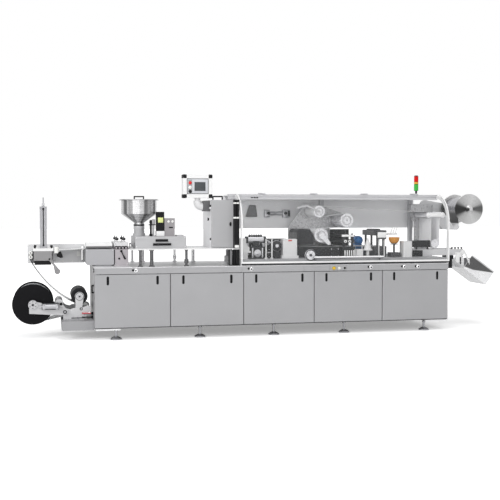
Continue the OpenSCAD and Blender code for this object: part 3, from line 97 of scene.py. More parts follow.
def seen_rays(tree):
    rays = tree.nodes.new("ShaderNodeLightPath").outputs
    eye_or_gloss = sums(tree, "MAXIMUM", rays["Is Camera Ray"], rays["Is Glossy Ray"])
    return sums(tree, "MAXIMUM", eye_or_gloss, rays["Is Transmission Ray"])


white = sky.nodes.new("ShaderNodeBackground")
white.inputs["Color"].default_value = (1.0, 1.0, 1.0, 1.0)
sky.links.new(spread(sky, seen_rays(sky), 0.0, 1.0, sky_lights, sky_shows), white.inputs["Strength"])
sky.links.new(white.outputs[0], sky.nodes.new("ShaderNodeOutputWorld").inputs["Surface"])


def soft_light(name, place, aim, size, watts, in_reflections):
    lamp = bpy.data.objects.new(name, bpy.data.lights.new(name, "AREA"))
    lamp.data.shape = "SQUARE"
    lamp.data.size = size
    lamp.data.energy = watts
    lamp.visible_glossy = in_reflections
    lamp.location = place
    lamp.rotation_euler = (Vector(aim) - Vector(place)).to_track_quat("-Z", "Y").to_euler()
    scene.collection.objects.link(lamp)


soft_light("key_light", (-13.0, -10.0, 8.0), (0.0, 0.0, 0.8), 7.0, 950.0, True)
soft_light("front_light", (-1.5, -13.0, 2.6), (0.0, 0.0, 0.9), 6.0, 510.0, False)
soft_light("top_light", (0.0, -2.0, 12.0), (0.0, 0.0, 0.8), 6.0, 330.0, True)

# The floor: a pale sheet. The camera, metal and glass see it a little brighter than it lights the machine,
# and the camera alone sees it white far away, so only the soft shadow near the machine shows.


def object_coords(tree):
    return tree.nodes.new("ShaderNodeTexCoord").outputs["Object"]


floor_lights = 0.74
floor_shows = 1.10
haze_from = 2.6
haze_to = 7.0
near_haze = 0.30
far_haze = 0.75
floor_sheet = bmesh.new()
bmesh.ops.create_grid(floor_sheet, x_segments=1, y_segments=1, size=60.0)
floor_mesh = bpy.data.meshes.new("studio_floor")
floor_sheet.to_mesh(floor_mesh)
floor_sheet.free()
floor = bpy.data.objects.new("studio_floor", floor_mesh)
scene.collection.objects.link(floor)
floor_paper = bpy.data.materials.new("studio_floor")
floor_paper.use_nodes = True
floor_tree = floor_paper.node_tree
floor_tree.nodes.clear()
floor_tone = spread(floor_tree, seen_rays(floor_tree), 0.0, 1.0, floor_lights, floor_shows)
floor_grey = floor_tree.nodes.new("ShaderNodeCombineColor")
for channel in floor_grey.inputs[:3]:
    floor_tree.links.new(floor_tone, channel)
diffuse = floor_tree.nodes.new("ShaderNodeBsdfDiffuse")
floor_tree.links.new(floor_grey.outputs[0], diffuse.inputs["Color"])
away = floor_tree.nodes.new("ShaderNodeVectorMath")
away.operation = "LENGTH"
floor_tree.links.new(object_coords(floor_tree), away.inputs[0])
haze = spread(floor_tree, away.outputs["Value"], haze_from, haze_to, near_haze, far_haze)
by_eye = floor_tree.nodes.new("ShaderNodeLightPath").outputs["Is Camera Ray"]
glow = floor_tree.nodes.new("ShaderNodeEmission")
floor_tree.links.new(sums(floor_tree, "MULTIPLY", haze, by_eye), glow.inputs["Strength"])
hazy = floor_tree.nodes.new("ShaderNodeAddShader")
floor_tree.links.new(diffuse.outputs[0], hazy.inputs[0])
floor_tree.links.new(glow.outputs[0], hazy.inputs[1])
floor_tree.links.new(hazy.outputs[0], floor_tree.nodes.new("ShaderNodeOutputMaterial").inputs["Surface"])
floor_mesh.materials.append(floor_paper)

# Base cabinet: folded steel panels and apron bands on a dark tube frame, sprayed in a satin cool grey. The
# paint has a fine orange peel, slight clouding over each panel, and smudges that change its gloss.


def effect(name, takes, gives):
    group = bpy.data.node_groups.new(name, "ShaderNodeTree")
    for label, kind, value in takes:
        socket = group.interface.new_socket(name=label, in_out="INPUT", socket_type=kind)
        socket.default_value = value
    for label, kind in gives:
        group.interface.new_socket(name=label, in_out="OUTPUT", socket_type=kind)
    return group, group.nodes.new("NodeGroupInput"), group.nodes.new("NodeGroupOutput")


def noise(tree, coords, scale, detail=3.0, rough=0.55):
    node = tree.nodes.new("ShaderNodeTexNoise")
    settings = {"Vector": coords, "Scale": scale, "Detail": detail, "Roughness": rough}
    for label, value in settings.items():
        feed(tree, node.inputs[label], value)
    return node.outputs["Fac"]


def tinted(tree, colour, strength):
    node = tree.nodes.new("ShaderNodeVectorMath")
    node.operation = "SCALE"
    tree.links.new(colour, node.inputs[0])
    tree.links.new(strength, node.inputs["Scale"])
    return node.outputs["Vector"]


def about_one(tree, tone, amount):
    return spread(tree, tone, 0.3, 0.7, sums(tree, "SUBTRACT", 1.0, amount), sums(tree, "ADD", 1.0, amount))


finish_outputs = [("Colour", "NodeSocketColor"), ("Rough", "NodeSocketFloat"),
                  ("Height", "NodeSocketFloat")]
sprayed, paint_in, paint_out = effect("sprayed_paint",
    [("Colour", "NodeSocketColor", (0.5, 0.5, 0.5, 1.0)), ("Mottle", "NodeSocketFloat", 0.05),
     ("Rough", "NodeSocketFloat", 0.4), ("Peel", "NodeSocketFloat", 420.0)], finish_outputs)
paint_coords = object_coords(sprayed)
clouding = sums(sprayed, "MULTIPLY", noise(sprayed, paint_coords, 2.1, 4.0), 0.75)
fleck = sums(sprayed, "MULTIPLY", noise(sprayed, paint_coords, 160.0, 2.0), 0.25)
paint_tone = about_one(sprayed, sums(sprayed, "ADD", clouding, fleck), paint_in.outputs["Mottle"])
sprayed.links.new(tinted(sprayed, paint_in.outputs["Colour"], paint_tone), paint_out.inputs["Colour"])
smudge = spread(sprayed, noise(sprayed, paint_coords, 9.0, 5.0, 0.6), 0.3, 0.7, -0.07, 0.09)
sprayed.links.new(sums(sprayed, "ADD", paint_in.outputs["Rough"], smudge), paint_out.inputs["Rough"])
sprayed.links.new(noise(sprayed, paint_coords, paint_in.outputs["Peel"], 2.0), paint_out.inputs["Height"])


def finished(name, group, settings, bump, sockets):
    material = bpy.data.materials.new(name)
    material.use_nodes = True
    tree = material.node_tree
    shader = tree.nodes["Principled BSDF"]
    maker = tree.nodes.new("ShaderNodeGroup")
    maker.node_tree = group
    for label, value in settings.items():
        maker.inputs[label].default_value = value
    tree.links.new(maker.outputs["Colour"], shader.inputs["Base Color"])
    tree.links.new(maker.outputs["Rough"], shader.inputs["Roughness"])
    relief = tree.nodes.new("ShaderNodeBump")
    relief.inputs["Strength"].default_value = bump
    relief.inputs["Distance"].default_value = 0.001
    tree.links.new(maker.outputs["Height"], relief.inputs["Height"])
    tree.links.new(relief.outputs["Normal"], shader.inputs["Normal"])
    for label, value in sockets.items():
        shader.inputs[label].default_value = value
    return material


def paint(name, colour, rough=0.42, mottle=0.05, peel=420.0, bump=0.1, gleam=0.5, coat=0.0, alpha=1.0):
    settings = {"Colour": (*colour, 1.0), "Mottle": mottle, "Rough": rough, "Peel": peel}
    sockets = {"Specular IOR Level": gleam, "Coat Weight": coat, "Alpha": alpha}
    return finished(name, sprayed, settings, bump, sockets)


def dress(material, *nodes):
    for node in nodes:
        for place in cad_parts[node].material_slots:
            place.material = material


cabinet_grey = paint("cabinet_grey_paint", (0.374, 0.374, 0.384), 0.4, 0.04)
apron_grey = paint("apron_grey_paint", (0.38, 0.38, 0.39), 0.38, 0.04)
tube_grey = paint("frame_tube_paint", (0.10, 0.10, 0.105), 0.5)
dress(cabinet_grey, "front_panels", "rear_panels")
dress(apron_grey, "cabinet_walls")
dress(tube_grey, "frame_posts")

# Deck: a brushed stainless plate with its grain along the machine. The same drawn grain, at other
# stretches, serves every bright or blasted metal on the machine.
drawn, grain_in, grain_out = effect("drawn_metal",
    [("Colour", "NodeSocketColor", (0.7, 0.7, 0.7, 1.0)), ("Rough", "NodeSocketFloat", 0.3),
     ("Stretch", "NodeSocketVector", (4.0, 240.0, 240.0)), ("Contrast", "NodeSocketFloat", 0.15)],
    finish_outputs)
grain_coords = object_coords(drawn)
grain_map = drawn.nodes.new("ShaderNodeMapping")
drawn.links.new(grain_coords, grain_map.inputs["Vector"])
drawn.links.new(grain_in.outputs["Stretch"], grain_map.inputs["Scale"])
grain = noise(drawn, grain_map.outputs["Vector"], 1.0, 2.0, 0.5)
stain = sums(drawn, "MULTIPLY", noise(drawn, grain_coords, 3.0, 3.0), 0.4)
grain_and_stain = sums(drawn, "ADD", sums(drawn, "MULTIPLY", grain, 0.6), stain)
metal_tone = about_one(drawn, grain_and_stain, grain_in.outputs["Contrast"])
drawn.links.new(tinted(drawn, grain_in.outputs["Colour"], metal_tone), grain_out.inputs["Colour"])
scratch = spread(drawn, grain, 0.3, 0.7, -0.06, 0.08)
drawn.links.new(sums(drawn, "ADD", grain_in.outputs["Rough"], scratch), grain_out.inputs["Rough"])
drawn.links.new(grain, grain_out.inputs["Height"])


def metal(name, colour, rough=0.3, stretch=(4.0, 240.0, 240.0), contrast=0.1, bump=0.06, metallic=1.0):
    settings = {"Colour": (*colour, 1.0), "Rough": rough, "Stretch": stretch, "Contrast": contrast}
    return finished(name, drawn, settings, bump, {"Metallic": metallic})


dress(metal("brushed_deck", (0.72, 0.72, 0.73), 0.36, metallic=0.55), "deck_plate")

# Bottom pan: the plate that closes the cabinet from below, near black above the foot brackets as painted
# shade of the gap under the panels. Bright zinc plated foot brackets are bolted under both ends of it, so
# the finish changes at the pan's underside.


def two_tone(material, colour, axis, edge):
    tree = material.node_tree
    base = tree.nodes["Principled BSDF"].inputs["Base Color"]
    place = tree.nodes.new("ShaderNodeSeparateXYZ")
    tree.links.new(object_coords(tree), place.inputs[0])
    mix = tree.nodes.new("ShaderNodeMix")
    mix.data_type = "RGBA"
    below_edge, above_edge = mix.inputs[6], mix.inputs[7]
    tree.links.new(sums(tree, "GREATER_THAN", place.outputs[axis], edge), mix.inputs[0])
    tree.links.new(base.links[0].from_socket, below_edge)
    above_edge.default_value = (*colour, 1.0)
    tree.links.new(mix.outputs[2], base)
    return material


pan_thickness = 0.010
edge_margin = 0.0005
bracket_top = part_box("base_pan")[1][2] - pan_thickness - edge_margin
pan_zinc_and_shade = metal("pan_shade_and_brackets", (0.86, 0.86, 0.87), 0.4, (40.0, 40.0, 300.0), 0.06, metallic=0.3)
# The pan is near black above the brackets: painted shade of the gap under the panels.
dress(two_tone(pan_zinc_and_shade, (0.05, 0.05, 0.052), "Z", bracket_top), "base_pan")

# Grips: black moulded cups pressed into slots near the top of each panel, two to a panel. The plastic is
# nearly matt, with a fine moulded texture.
black_plastic = paint("black_plastic", (0.010, 0.010, 0.011), 0.5, 0.25, 900.0, 0.1, gleam=0.18)
dress(black_plastic, "panel_grips")

# Levelling feet: turned steel pads on threaded stems, each held by a hexagon lock nut. The zinc plating is
# a little dull.
foot_zinc = metal("foot_zinc", (0.40, 0.40, 0.42), 0.3, (40.0, 40.0, 400.0), 0.12, metallic=0.8)
dress(foot_zinc, "levelling_feet")

# Apron fittings: cylinder locks, each a chrome collar round a dark keyway with a black stud beside it, and
# a thin plate with three signal lamps in metal rims, all set in the apron band at the front.


def spun(bm, geom, centre, axis, steps):
    bmesh.ops.spin(bm, geom=geom, cent=centre, axis=axis, dvec=(0, 0, 0), angle=2 * math.pi, steps=steps,
                   use_merge=True, use_normal_flip=False, use_duplicate=False)


def turned(bm, outline, foot, way="-y", steps=24):
    axes = {"x": (1, 0, 0), "y": (0, 1, 0), "z": (0, 0, 1)}
    along = Vector(axes[way[-1]]) * (-1 if way[0] == "-" else 1)
    side = Vector(axes["y"]) if way[-1] == "x" else Vector(axes["x"])
    foot = Vector(foot)
    points = [bm.verts.new(foot + side * r + along * t) for r, t in outline]
    edges = [bm.edges.new(pair) for pair in zip(points, points[1:])]
    spun(bm, points + edges, foot, along, steps)


def edges_of(verts):
    return list(dict.fromkeys(edge for vert in verts for edge in vert.link_edges))


def eased(bm, edges, ease, segments):
    bmesh.ops.bevel(bm, geom=edges, offset=ease, offset_type="OFFSET", affect="EDGES", segments=segments,
                    profile=0.5, material=-1, clamp_overlap=True)


def slab(bm, x0, x1, y0, y1, z0, z1, ease=1.5, segments=2):
    middle = Matrix.Translation(((x0 + x1) / 2, (y0 + y1) / 2, (z0 + z1) / 2))
    lie = middle @ Matrix.Diagonal((x1 - x0, y1 - y0, z1 - z0, 1.0))
    cube = bmesh.ops.create_cube(bm, size=1.0, matrix=lie)
    eased(bm, edges_of(cube["verts"]), ease, segments)


def piece(name, bm, material, body="machine", crease=38.0):
    bmesh.ops.remove_doubles(bm, verts=bm.verts, dist=0.001)
    bmesh.ops.recalc_face_normals(bm, faces=bm.faces)
    bmesh.ops.transform(bm, matrix=drawing, verts=bm.verts)
    mesh = bpy.data.meshes.new(name)
    bm.to_mesh(mesh)
    bm.free()
    mesh.materials.append(material)
    mesh.polygons.foreach_set("use_smooth", [True] * len(mesh.polygons))
    mesh.set_sharp_from_angle(angle=math.radians(crease))
    made = bpy.data.objects.new(name, mesh)
    scene.collection.objects.link(made)
    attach(made, body)


def plate(name, box, ease, material, body="machine", segments=2):
    bm = bmesh.new()
    slab(bm, *box, ease, segments)
    piece(name, bm, material, body)


chrome = metal("bright_chrome", (0.85, 0.85, 0.86), 0.14, (60.0, 60.0, 60.0), 0.05)
lock_z = 715
lock_places = (423, 1643, 2986, 3376, 3538)
collar_outline = [(0, 2), (8, 2), (9, 7), (16, 7), (20, 3), (20, -4)]
keyway_outline = [(0, 4), (8.5, 4), (8.5, 1)]
stud_outline = [(0, 5), (9, 5), (12, 2), (12, 0)]
collars = bmesh.new()
keyways = bmesh.new()
for x in lock_places:
    turned(collars, collar_outline, (x, 0, lock_z))
    turned(keyways, keyway_outline, (x, 0, lock_z))
    turned(keyways, stud_outline, (x - 30, 0, lock_z + 5), "-y", 16)
piece("apron_lock_collars", collars, chrome)
piece("apron_lock_keyways", keyways, black_plastic)
plate("lamp_plate", (2514, 2700, -2.5, 1, 686, 738), 1.0, apron_grey)
lamp_y = -2
lamp_z = 712
rim_outline = [(13, 3), (15, 6), (20, 5), (22, 2), (22, 0)]
lens_outline = [(0, 14), (7, 13), (13, 8), (13.6, 1)]
brass = (0.62, 0.50, 0.16)
steel = (0.6, 0.6, 0.6)
lamps = (("amber", 2559, (0.85, 0.52, 0.03), brass), ("clear", 2619, (0.86, 0.85, 0.78), steel),
         ("black", 2680, (0.012, 0.012, 0.012), steel))
for name, x, lens_colour, rim_colour in lamps:
    rim = bmesh.new()
    turned(rim, rim_outline, (x, lamp_y, lamp_z))
    piece("lamp_rim_" + name, rim, metal("lamp_rim_" + name, rim_colour, 0.3))
    lamp_lens = bmesh.new()
    turned(lamp_lens, lens_outline, (x, lamp_y, lamp_z))
    lamp_plastic = paint("lamp_lens_" + name, lens_colour, 0.2, 0.06, 60.0, 0.02, gleam=0.3)
    piece("lamp_lens_" + name, lamp_lens, lamp_plastic)

# Left end wall: a black pull handle on two round feet, the deck's latch with its chrome tongue, and the
# screwed fittings of the brake's two short air lines, all bolted to the wall.


def bar(bm, a, b, r, end_r=None, sides=16):
    a, b = Vector(a), Vector(b)
    lie = Matrix.Translation((a + b) / 2) @ (b - a).to_track_quat("Z", "Y").to_matrix().to_4x4()
    bmesh.ops.create_cone(bm, cap_ends=True, cap_tris=False, segments=sides, radius1=r,
                          radius2=r if end_r is None else end_r, depth=(b - a).length, matrix=lie)


def ball(bm, place, r):
    bmesh.ops.create_uvsphere(bm, u_segments=16, v_segments=10, radius=r, matrix=Matrix.Translation(place))


pull_x = -20
pull_y = 120
pull_r = 7
pull_low = 486
pull_high = 560
wall_parts = bmesh.new()
for z in (pull_low, pull_high):
    bar(wall_parts, (1, pull_y, z), (pull_x, pull_y, z), pull_r)
    ball(wall_parts, (pull_x, pull_y, z), pull_r)
    turned(wall_parts, [(0, 4), (12, 4), (13, 2), (13, 0)], (0, pull_y, z), "-x", 16)
bar(wall_parts, (pull_x, pull_y, pull_low), (pull_x, pull_y, pull_high), pull_r)
slab(wall_parts, -10, 0, 26, 60, 700, 742, 3)
line_y = 286
red_line_z = 256
black_line_z = 214
gland_outline = [(7, 24), (12, 24), (13, 20), (13, 12), (18, 12), (18, 0)]
for z in (black_line_z, red_line_z):
    turned(wall_parts, gland_outline, (0, line_y, z), "-x", 6)
piece("end_wall_fittings", wall_parts, black_plastic)
plate("deck_latch", (-14, -9, 30, 52, 712, 734), 1.5, chrome)
air_lines = (("red", red_line_z, (0.62, 0.08, 0.10)), ("black", black_line_z, (0.012, 0.012, 0.013)))
for name, z, colour in air_lines:
    air_line = bmesh.new()
    turned(air_line, [(0, 0), (6.5, 0), (6.5, 108), (0, 108)], (-6, line_y, z), "-x", 16)
    for x in (-12, -108):
        turned(air_line, [(6.4, 0), (9, 1), (9, 7), (6.4, 8)], (x, line_y, z), "-x", 16)
    line_plastic = paint("air_line_" + name, colour, 0.35, 0.08)
    piece("brake_air_line_" + name, air_line, line_plastic)

# Unwinder: bead blasted castings on a painted box beam, pale arms with a hub disc, black reel flanges, a
# rubber tension roller and the brake's small air cylinder, all held with socket screws.


def screw(bm, foot, r, h, way="-y"):
    outline = [(0, h * 0.35), (r * 0.5, h * 0.35), (r * 0.56, h), (r * 0.88, h), (r, h * 0.85), (r, 0)]
    turned(bm, outline, foot, way, 14)


def screws(bm, columns, y, rows, r, h):
    for x in columns:
        for z in rows:
            screw(bm, (x, y, z), r, h)


blasted = metal("bead_blasted_castings", (0.60, 0.60, 0.61), 0.46, (220.0, 220.0, 220.0), 0.08,
                metallic=0.5)
arm_paint = paint("pale_arm_paint", (0.535, 0.535, 0.545), 0.38, 0.05, 520.0, 0.06, gleam=0.4)
rubber = paint("black_rubber", (0.016, 0.016, 0.018), 0.62, 0.2, 1100.0, 0.2, gleam=0.2)
reel_black = paint("reel_black", (0.006, 0.006, 0.007), 0.4, 0.2, 700.0, 0.05, gleam=0.09)
cylinder_metal = metal("natural_anodised", (0.52, 0.52, 0.54), 0.34, (3.0, 300.0, 300.0), 0.06,
                       metallic=0.7)
zinc = metal("zinc_plated_steel", (0.62, 0.62, 0.64), 0.32, (40.0, 40.0, 400.0), 0.1)
black_steel = metal("blackened_steel", (0.035, 0.035, 0.04), 0.42, (300.0, 300.0, 300.0), 0.3,
                    metallic=0.3)
dress(paint("beam_grey_paint", (0.328, 0.328, 0.338), 0.42, 0.05), "unwind_beam")
dress(blasted, "unwind_bracket")
dress(arm_paint, "unwind_arms")
dress(rubber, "tension_roller")
dress(reel_black, "reel_flanges")
dress(cylinder_metal, "brake_cylinder")
hub_y = 269
bracket_y = 299.3
reel_x, reel_z = -617, 357
pivot_x, pivot_z = -292, 277
tension_x, tension_z = -141, 433
hub_screws = 6
hub_screw_ring = 34
unwind_bright = bmesh.new()
unwind_dark = bmesh.new()
screw(unwind_dark, (reel_x, hub_y, reel_z), 12, 9)
for i in range(hub_screws):
    angle = math.radians(60 * i + 30)
    place = (reel_x + hub_screw_ring * math.cos(angle), hub_y, reel_z + hub_screw_ring * math.sin(angle))
    screw(unwind_dark, place, 4.5, 4)
turned(unwind_bright, [(44, 0), (45, 2), (47, 2), (48, 0)], (reel_x, hub_y, reel_z), "-y", 40)
turned(unwind_dark, [(10, 0), (10, 5), (19, 5), (20, 2), (20, 0)], (pivot_x, hub_y, pivot_z))
turned(unwind_bright, [(0, 7), (7, 7), (9.6, 4), (9.6, 0)], (pivot_x, hub_y, pivot_z))
screws(unwind_dark, (-504, -368), 223, (318, 358), 4, 3)
turned(unwind_bright, [(0, 5), (15, 5), (17.6, 2), (17.6, -2)], (tension_x, bracket_y, tension_z))
turned(unwind_dark, [(38, 0), (39, 2.5), (42, 2.5), (43, 0)], (tension_x, bracket_y, tension_z), "-y", 40)
screw(unwind_dark, (tension_x, bracket_y - 5, tension_z), 9, 7)
turned(unwind_dark, [(8, 0), (8, 4), (15, 4), (16, 0)], (-124, bracket_y, 302))
slab(unwind_dark, -226, -79, 297, 300, 203, 212, 1.2)
# A black plate behind the brake cylinder is partly its black mounting and partly painted shade outlining
# the cylinder against the arm.
slab(unwind_dark, -527, -352, 275, 280, 303, 373, 1.5)
screws(unwind_bright, (-210, -165, -95), bracket_y, (222,), 7, 6)
for x in (-270, -215, -160, -105):
    turned(unwind_bright, [(0, 9), (9, 9), (10, 7), (10, 0)], (x, 286, 193), "z", 6)
piece("unwinder_bright_hardware", unwind_bright, zinc)
piece("unwinder_black_hardware", unwind_dark, black_steel)
valve = bmesh.new()
slab(valve, -346, -318, 252, 279, 348, 374, 3)
turned(valve, [(0, 12), (5, 12), (6, 9), (6, 0)], (-332, 252, 362))
for x in (-506, -372):
    turned(valve, [(0, 14), (5, 14), (6, 10), (6, 0)], (x, 251, 366), "z", 12)
piece("brake_air_fittings", valve, black_plastic)

# Film: clear forming film, wound on its core and threaded through the infeed. It is a tight, nearly
# colourless plastic, hazy and grey where light passes along it.
clear_film = paint("clear_forming_film", (0.86, 0.87, 0.88), 0.3, 0.05, 30.0, 0.02, alpha=0.85)
dress(clear_film, "film_web")
dress(paint("wound_film", (0.50, 0.52, 0.54), 0.24, 0.08, 40.0, 0.04, coat=0.2), "film_roll")

# Infeed: the grey side plate with its row of white screws, white idlers, the splicing press with four
# black knobs, its dark foot and hand lever, and the profile air cylinder on top.


def cut_sheet(bm, outline, y0, y1, ease=1.0):
    face = bm.faces.new([bm.verts.new((x, y0, z)) for x, z in outline])
    rim = list(face.edges)
    grown = bmesh.ops.extrude_face_region(bm, geom=[face])["geom"]
    verts = [item for item in grown if isinstance(item, bmesh.types.BMVert)]
    bmesh.ops.translate(bm, verts=verts, vec=(0, y1 - y0, 0))
    eased(bm, edges_of(verts) + rim, ease, 1)


dress(paint("plate_grey_paint", (0.66, 0.66, 0.67), 0.4, 0.06), "infeed_plate")
white_plastic = paint("white_plastic", (0.84, 0.84, 0.82), 0.36, 0.03, 700.0, 0.05, gleam=0.35)
white_paint = paint("white_satin_paint", (0.84, 0.84, 0.84), 0.36, 0.025, 520.0, 0.05, gleam=0.35)
press_metal = metal("press_block_metal", (0.28, 0.275, 0.28), 0.4, (6.0, 200.0, 200.0), 0.1, metallic=0.5)
profile_metal = metal("cylinder_profile", (0.42, 0.42, 0.438), 0.3, (200.0, 200.0, 4.0), 0.1, metallic=0.8)
dress(white_plastic, "infeed_rollers")
dress(white_paint, "splice_cap")
dress(press_metal, "splice_press")
dress(profile_metal, "splice_cylinder")
plate_y = 700
press_y = 340
plate_heads = bmesh.new()
for i in range(8):
    screw(plate_heads, (-253 + 26 * i, plate_y, 912), 8, 7)
for x, z in ((-660, 785), (-660, 958), (-300, 785), (-200, 785), (-120, 785)):
    screw(plate_heads, (x, plate_y, z), 6, 5)
slab(plate_heads, -152, -112, plate_y - 6, plate_y, 838, 890, 2)
piece("infeed_screws", plate_heads, white_plastic)
press_knob_outline = [(0, 26), (10, 26), (13, 23), (13, 10), (8, 8), (8, 0)]
lever_outline = [(-374, 858), (-352, 900), (-326, 908), (-304, 846), (-330, 838)]
infeed_black = bmesh.new()
for x in (-592, -422):
    for y in (366, 640):
        turned(infeed_black, press_knob_outline, (x, y, 939), "z", 10)
screws(infeed_black, (-636,), press_y, (851, 893), 7, 5)
slab(infeed_black, -597, -427, 350, 355, 768, 810, 2)
for x in (-611, -419):
    slab(infeed_black, x, x + 6, press_y - 3, press_y + 1, 820, 906, 1)
turned(infeed_black, [(0, 20), (13, 20), (16, 17), (16, 0)], (-340, 316, 876), "-y", 20)
cut_sheet(infeed_black, lever_outline, 303, 316, 3)
slab(infeed_black, -374, -330, 316, 340, 868, 884, 3)
screw(infeed_black, (-445, 332, 828), 9, 6)
slab(infeed_black, -92, -84, plate_y - 3, plate_y + 2, 786, 904, 2)
piece("infeed_black_knobs", infeed_black, black_plastic)
cylinder_x = -504
cylinder_low = 968
cylinder_high = 1352
port_outline = [(0, 20), (6, 20), (8, 16), (8, 6), (11, 6), (11, 0)]
cylinder_fittings = bmesh.new()
for z in (cylinder_low, cylinder_high):
    turned(cylinder_fittings, port_outline, (cylinder_x, 487, z))
slab(cylinder_fittings, -508.5, -499.5, 492, 500, cylinder_low + 4, cylinder_high - 6, 1)
piece("cylinder_slot_and_fittings", cylinder_fittings, black_plastic)
rod_nut = bmesh.new()
nut_outline = [(6, 0), (14, 0), (15, 2), (15, 12), (14, 14), (6, 14)]
turned(rod_nut, nut_outline, (cylinder_x, 525, 1396), "z", 6)
piece("cylinder_rod_nut", rod_nut, zinc)

# Heating and forming: a grey painted box with a white cover and a dark strip at its film slot, which is
# painted shade of the slot under the cover, then the forming unit in grey cast metal with black lobed
# knobs, a clamp lever and a row of spring loops, which are thin flat rings here.
station_paint = paint("station_grey_paint", (0.393, 0.393, 0.408), 0.4, 0.04)
dress(station_paint, "heating_station")
dress(white_paint, "heating_cover")
forming_cast = paint("forming_unit_cast", (0.42, 0.395, 0.415), 0.42, 0.06, 300.0, 0.15)
head_from = 0.958
dress(two_tone(forming_cast, (0.66, 0.66, 0.67), "Z", head_from), "forming_unit")
station_y = 300
forming_black = bmesh.new()
slab(forming_black, 223, 231, station_y - 4, station_y + 1, 762, 924, 1)
for x in (275, 336):
    turned(forming_black, [(0, 4), (9, 4), (11, 2), (11, 0)], (x, station_y, 827))
clamp_pivot = (297, 288, 906)
clamp_tip = (326, 288, 842)
bar(forming_black, clamp_pivot, clamp_tip, 6)
ball(forming_black, clamp_tip, 10)
turned(forming_black, [(0, 16), (10, 16), (12, 13), (12, 0)], (297, station_y, 906))
loop_r = 16
wire_r = 4.5
for i in range(4):
    hub = Vector((246 + 34 * i, 305, 940))
    lie = Matrix.Translation(hub + Vector((loop_r, 0, 0))) @ Matrix.Rotation(math.radians(90), 4, "X")
    wire = bmesh.ops.create_circle(forming_black, cap_ends=False, segments=8, radius=wire_r, matrix=lie)
    spun(forming_black, wire["verts"] + edges_of(wire["verts"]), hub, (0, 1, 0), 16)
forming_knob_outline = [(0, 44), (5, 43), (6, 27), (15, 26), (19, 22), (19, 3), (16, 0)]
for x in (257, 331):
    for y in (375, 675):
        turned(forming_black, forming_knob_outline, (x, y, 1019), "z", 9)
piece("forming_black_fittings", forming_black, black_plastic)
# The dark strip over the film slot is painted shade of the slot under the heating cover.
slot_shade_grey = paint("slot_shade_grey", (0.11, 0.11, 0.115), 0.5, 0.15, 700.0, 0.1)
slot_shade_strip = (-71, 205, station_y - 4, station_y + 3, 938, 959)
plate("heating_slot_shade_strip", slot_shade_strip, 2, slot_shade_grey)
station_heads = bmesh.new()
screws(station_heads, (-60, 208), station_y, (772, 915), 5, 4)
screws(station_heads, (236, 360), station_y, (982, 772), 5.5, 4)
piece("station_screws", station_heads, zinc)
film_guide = bmesh.new()
slab(film_guide, 384, 393, 306, 330, 932, 994, 1.5)
slab(film_guide, 438, 447, 306, 330, 932, 994, 1.5)
cut_sheet(film_guide, [(384, 994), (396, 994), (447, 946), (447, 932), (436, 932)], 312, 324, 1)
guide_grey = paint("guide_grey_paint", (0.17, 0.17, 0.175), 0.4, 0.08)
piece("film_guide_bracket", film_guide, guide_grey)

# Tablet feeder: a white plate on turned posts, the pale steel housing with two black bars that are painted
# shade of its two slots, the display head, the control box, and the black mast with its grey guide and head
# and its black collar.
dress(white_paint, "feeder_plate")
posts = metal("ground_posts", (0.13, 0.13, 0.135), 0.3, (50.0, 50.0, 90.0), 0.35, metallic=0.7)
# Painted light: the posts behind the plate are coloured near white, far paler than the front ones of the
# same steel.
rear_posts_from = (drawing @ Vector((0, 500, 0))).y
dress(two_tone(posts, (0.98, 0.98, 0.99), "Y", rear_posts_from), "feeder_posts")
housing = metal("feeder_housing_steel", (0.475, 0.475, 0.485), 0.4, (5.0, 5.0, 220.0), 0.05, metallic=0.25)
dress(housing, "feeder_housing")
dress(black_plastic, "feeder_display")
dress(paint("control_box_grey", (0.305, 0.29, 0.30), 0.42, 0.05), "feeder_controls")
hopper_x = 509
hopper_y = 525
housing_y = 270
box_y = 350
neck_ring_outline = [(54, 0), (58, 0), (59, 2), (59, 13), (58, 15), (54, 15)]
feeder_bars = bmesh.new()
# The two black bars across the housing are painted shade of its two slots.
slab(feeder_bars, 657, 791, housing_y - 14, housing_y, 1003, 1030, 3)
slab(feeder_bars, 630, 824, housing_y - 18, housing_y, 962, 987, 3)
screws(feeder_bars, (644, 810), housing_y - 18, (975,), 7, 5)
turned(feeder_bars, neck_ring_outline, (hopper_x, hopper_y, 1170), "z", 40)
slab(feeder_bars, 812, 856, box_y - 4, box_y, 1146, 1160, 2)
piece("feeder_black_bars", feeder_bars, black_plastic)
feeder_trim = bmesh.new()
slab(feeder_trim, 676, 764, 344, box_y, 1062, 1114, 2)
screws(feeder_trim, (456, 975), housing_y, (950, 1044), 5, 3)
piece("feeder_white_trim", feeder_trim, white_paint)
display_green = paint("display_green", (0.74, 0.80, 0.32), 0.2, 0.12, 60.0, 0.01, gleam=0.3)
plate("feeder_display_window", (694, 750, box_y - 4, box_y, 1206, 1260), 2, display_green)
feeder_buttons = bmesh.new()
for x in (808, 851):
    turned(feeder_buttons, [(0, 9), (8, 9), (10, 7), (10, 3), (13, 3), (13, 0)], (x, box_y, 1217))
piece("feeder_buttons", feeder_buttons, white_plastic)
mast_guide = bmesh.new()
slab(mast_guide, 640, 663, 404, 430, 1061, 1180, 4)
slab(mast_guide, 636, 670, 396, 440, 1186, 1241, 6)
lever_grey = paint("lever_grey_paint", (0.42, 0.42, 0.43), 0.4, 0.08)
piece("mast_guide_and_head", mast_guide, lever_grey)
plate("mast_collar", (606, 674, 400, 440, 1177, 1188), 3, black_plastic)

# Hopper: polished stainless, spun on a former, with upright bright and dark bands round its wall, painted
# into its colour as a reflection of the room's bright and dark sides. The lid is a flat sheet with a bent
# wire bail in a black sleeve.


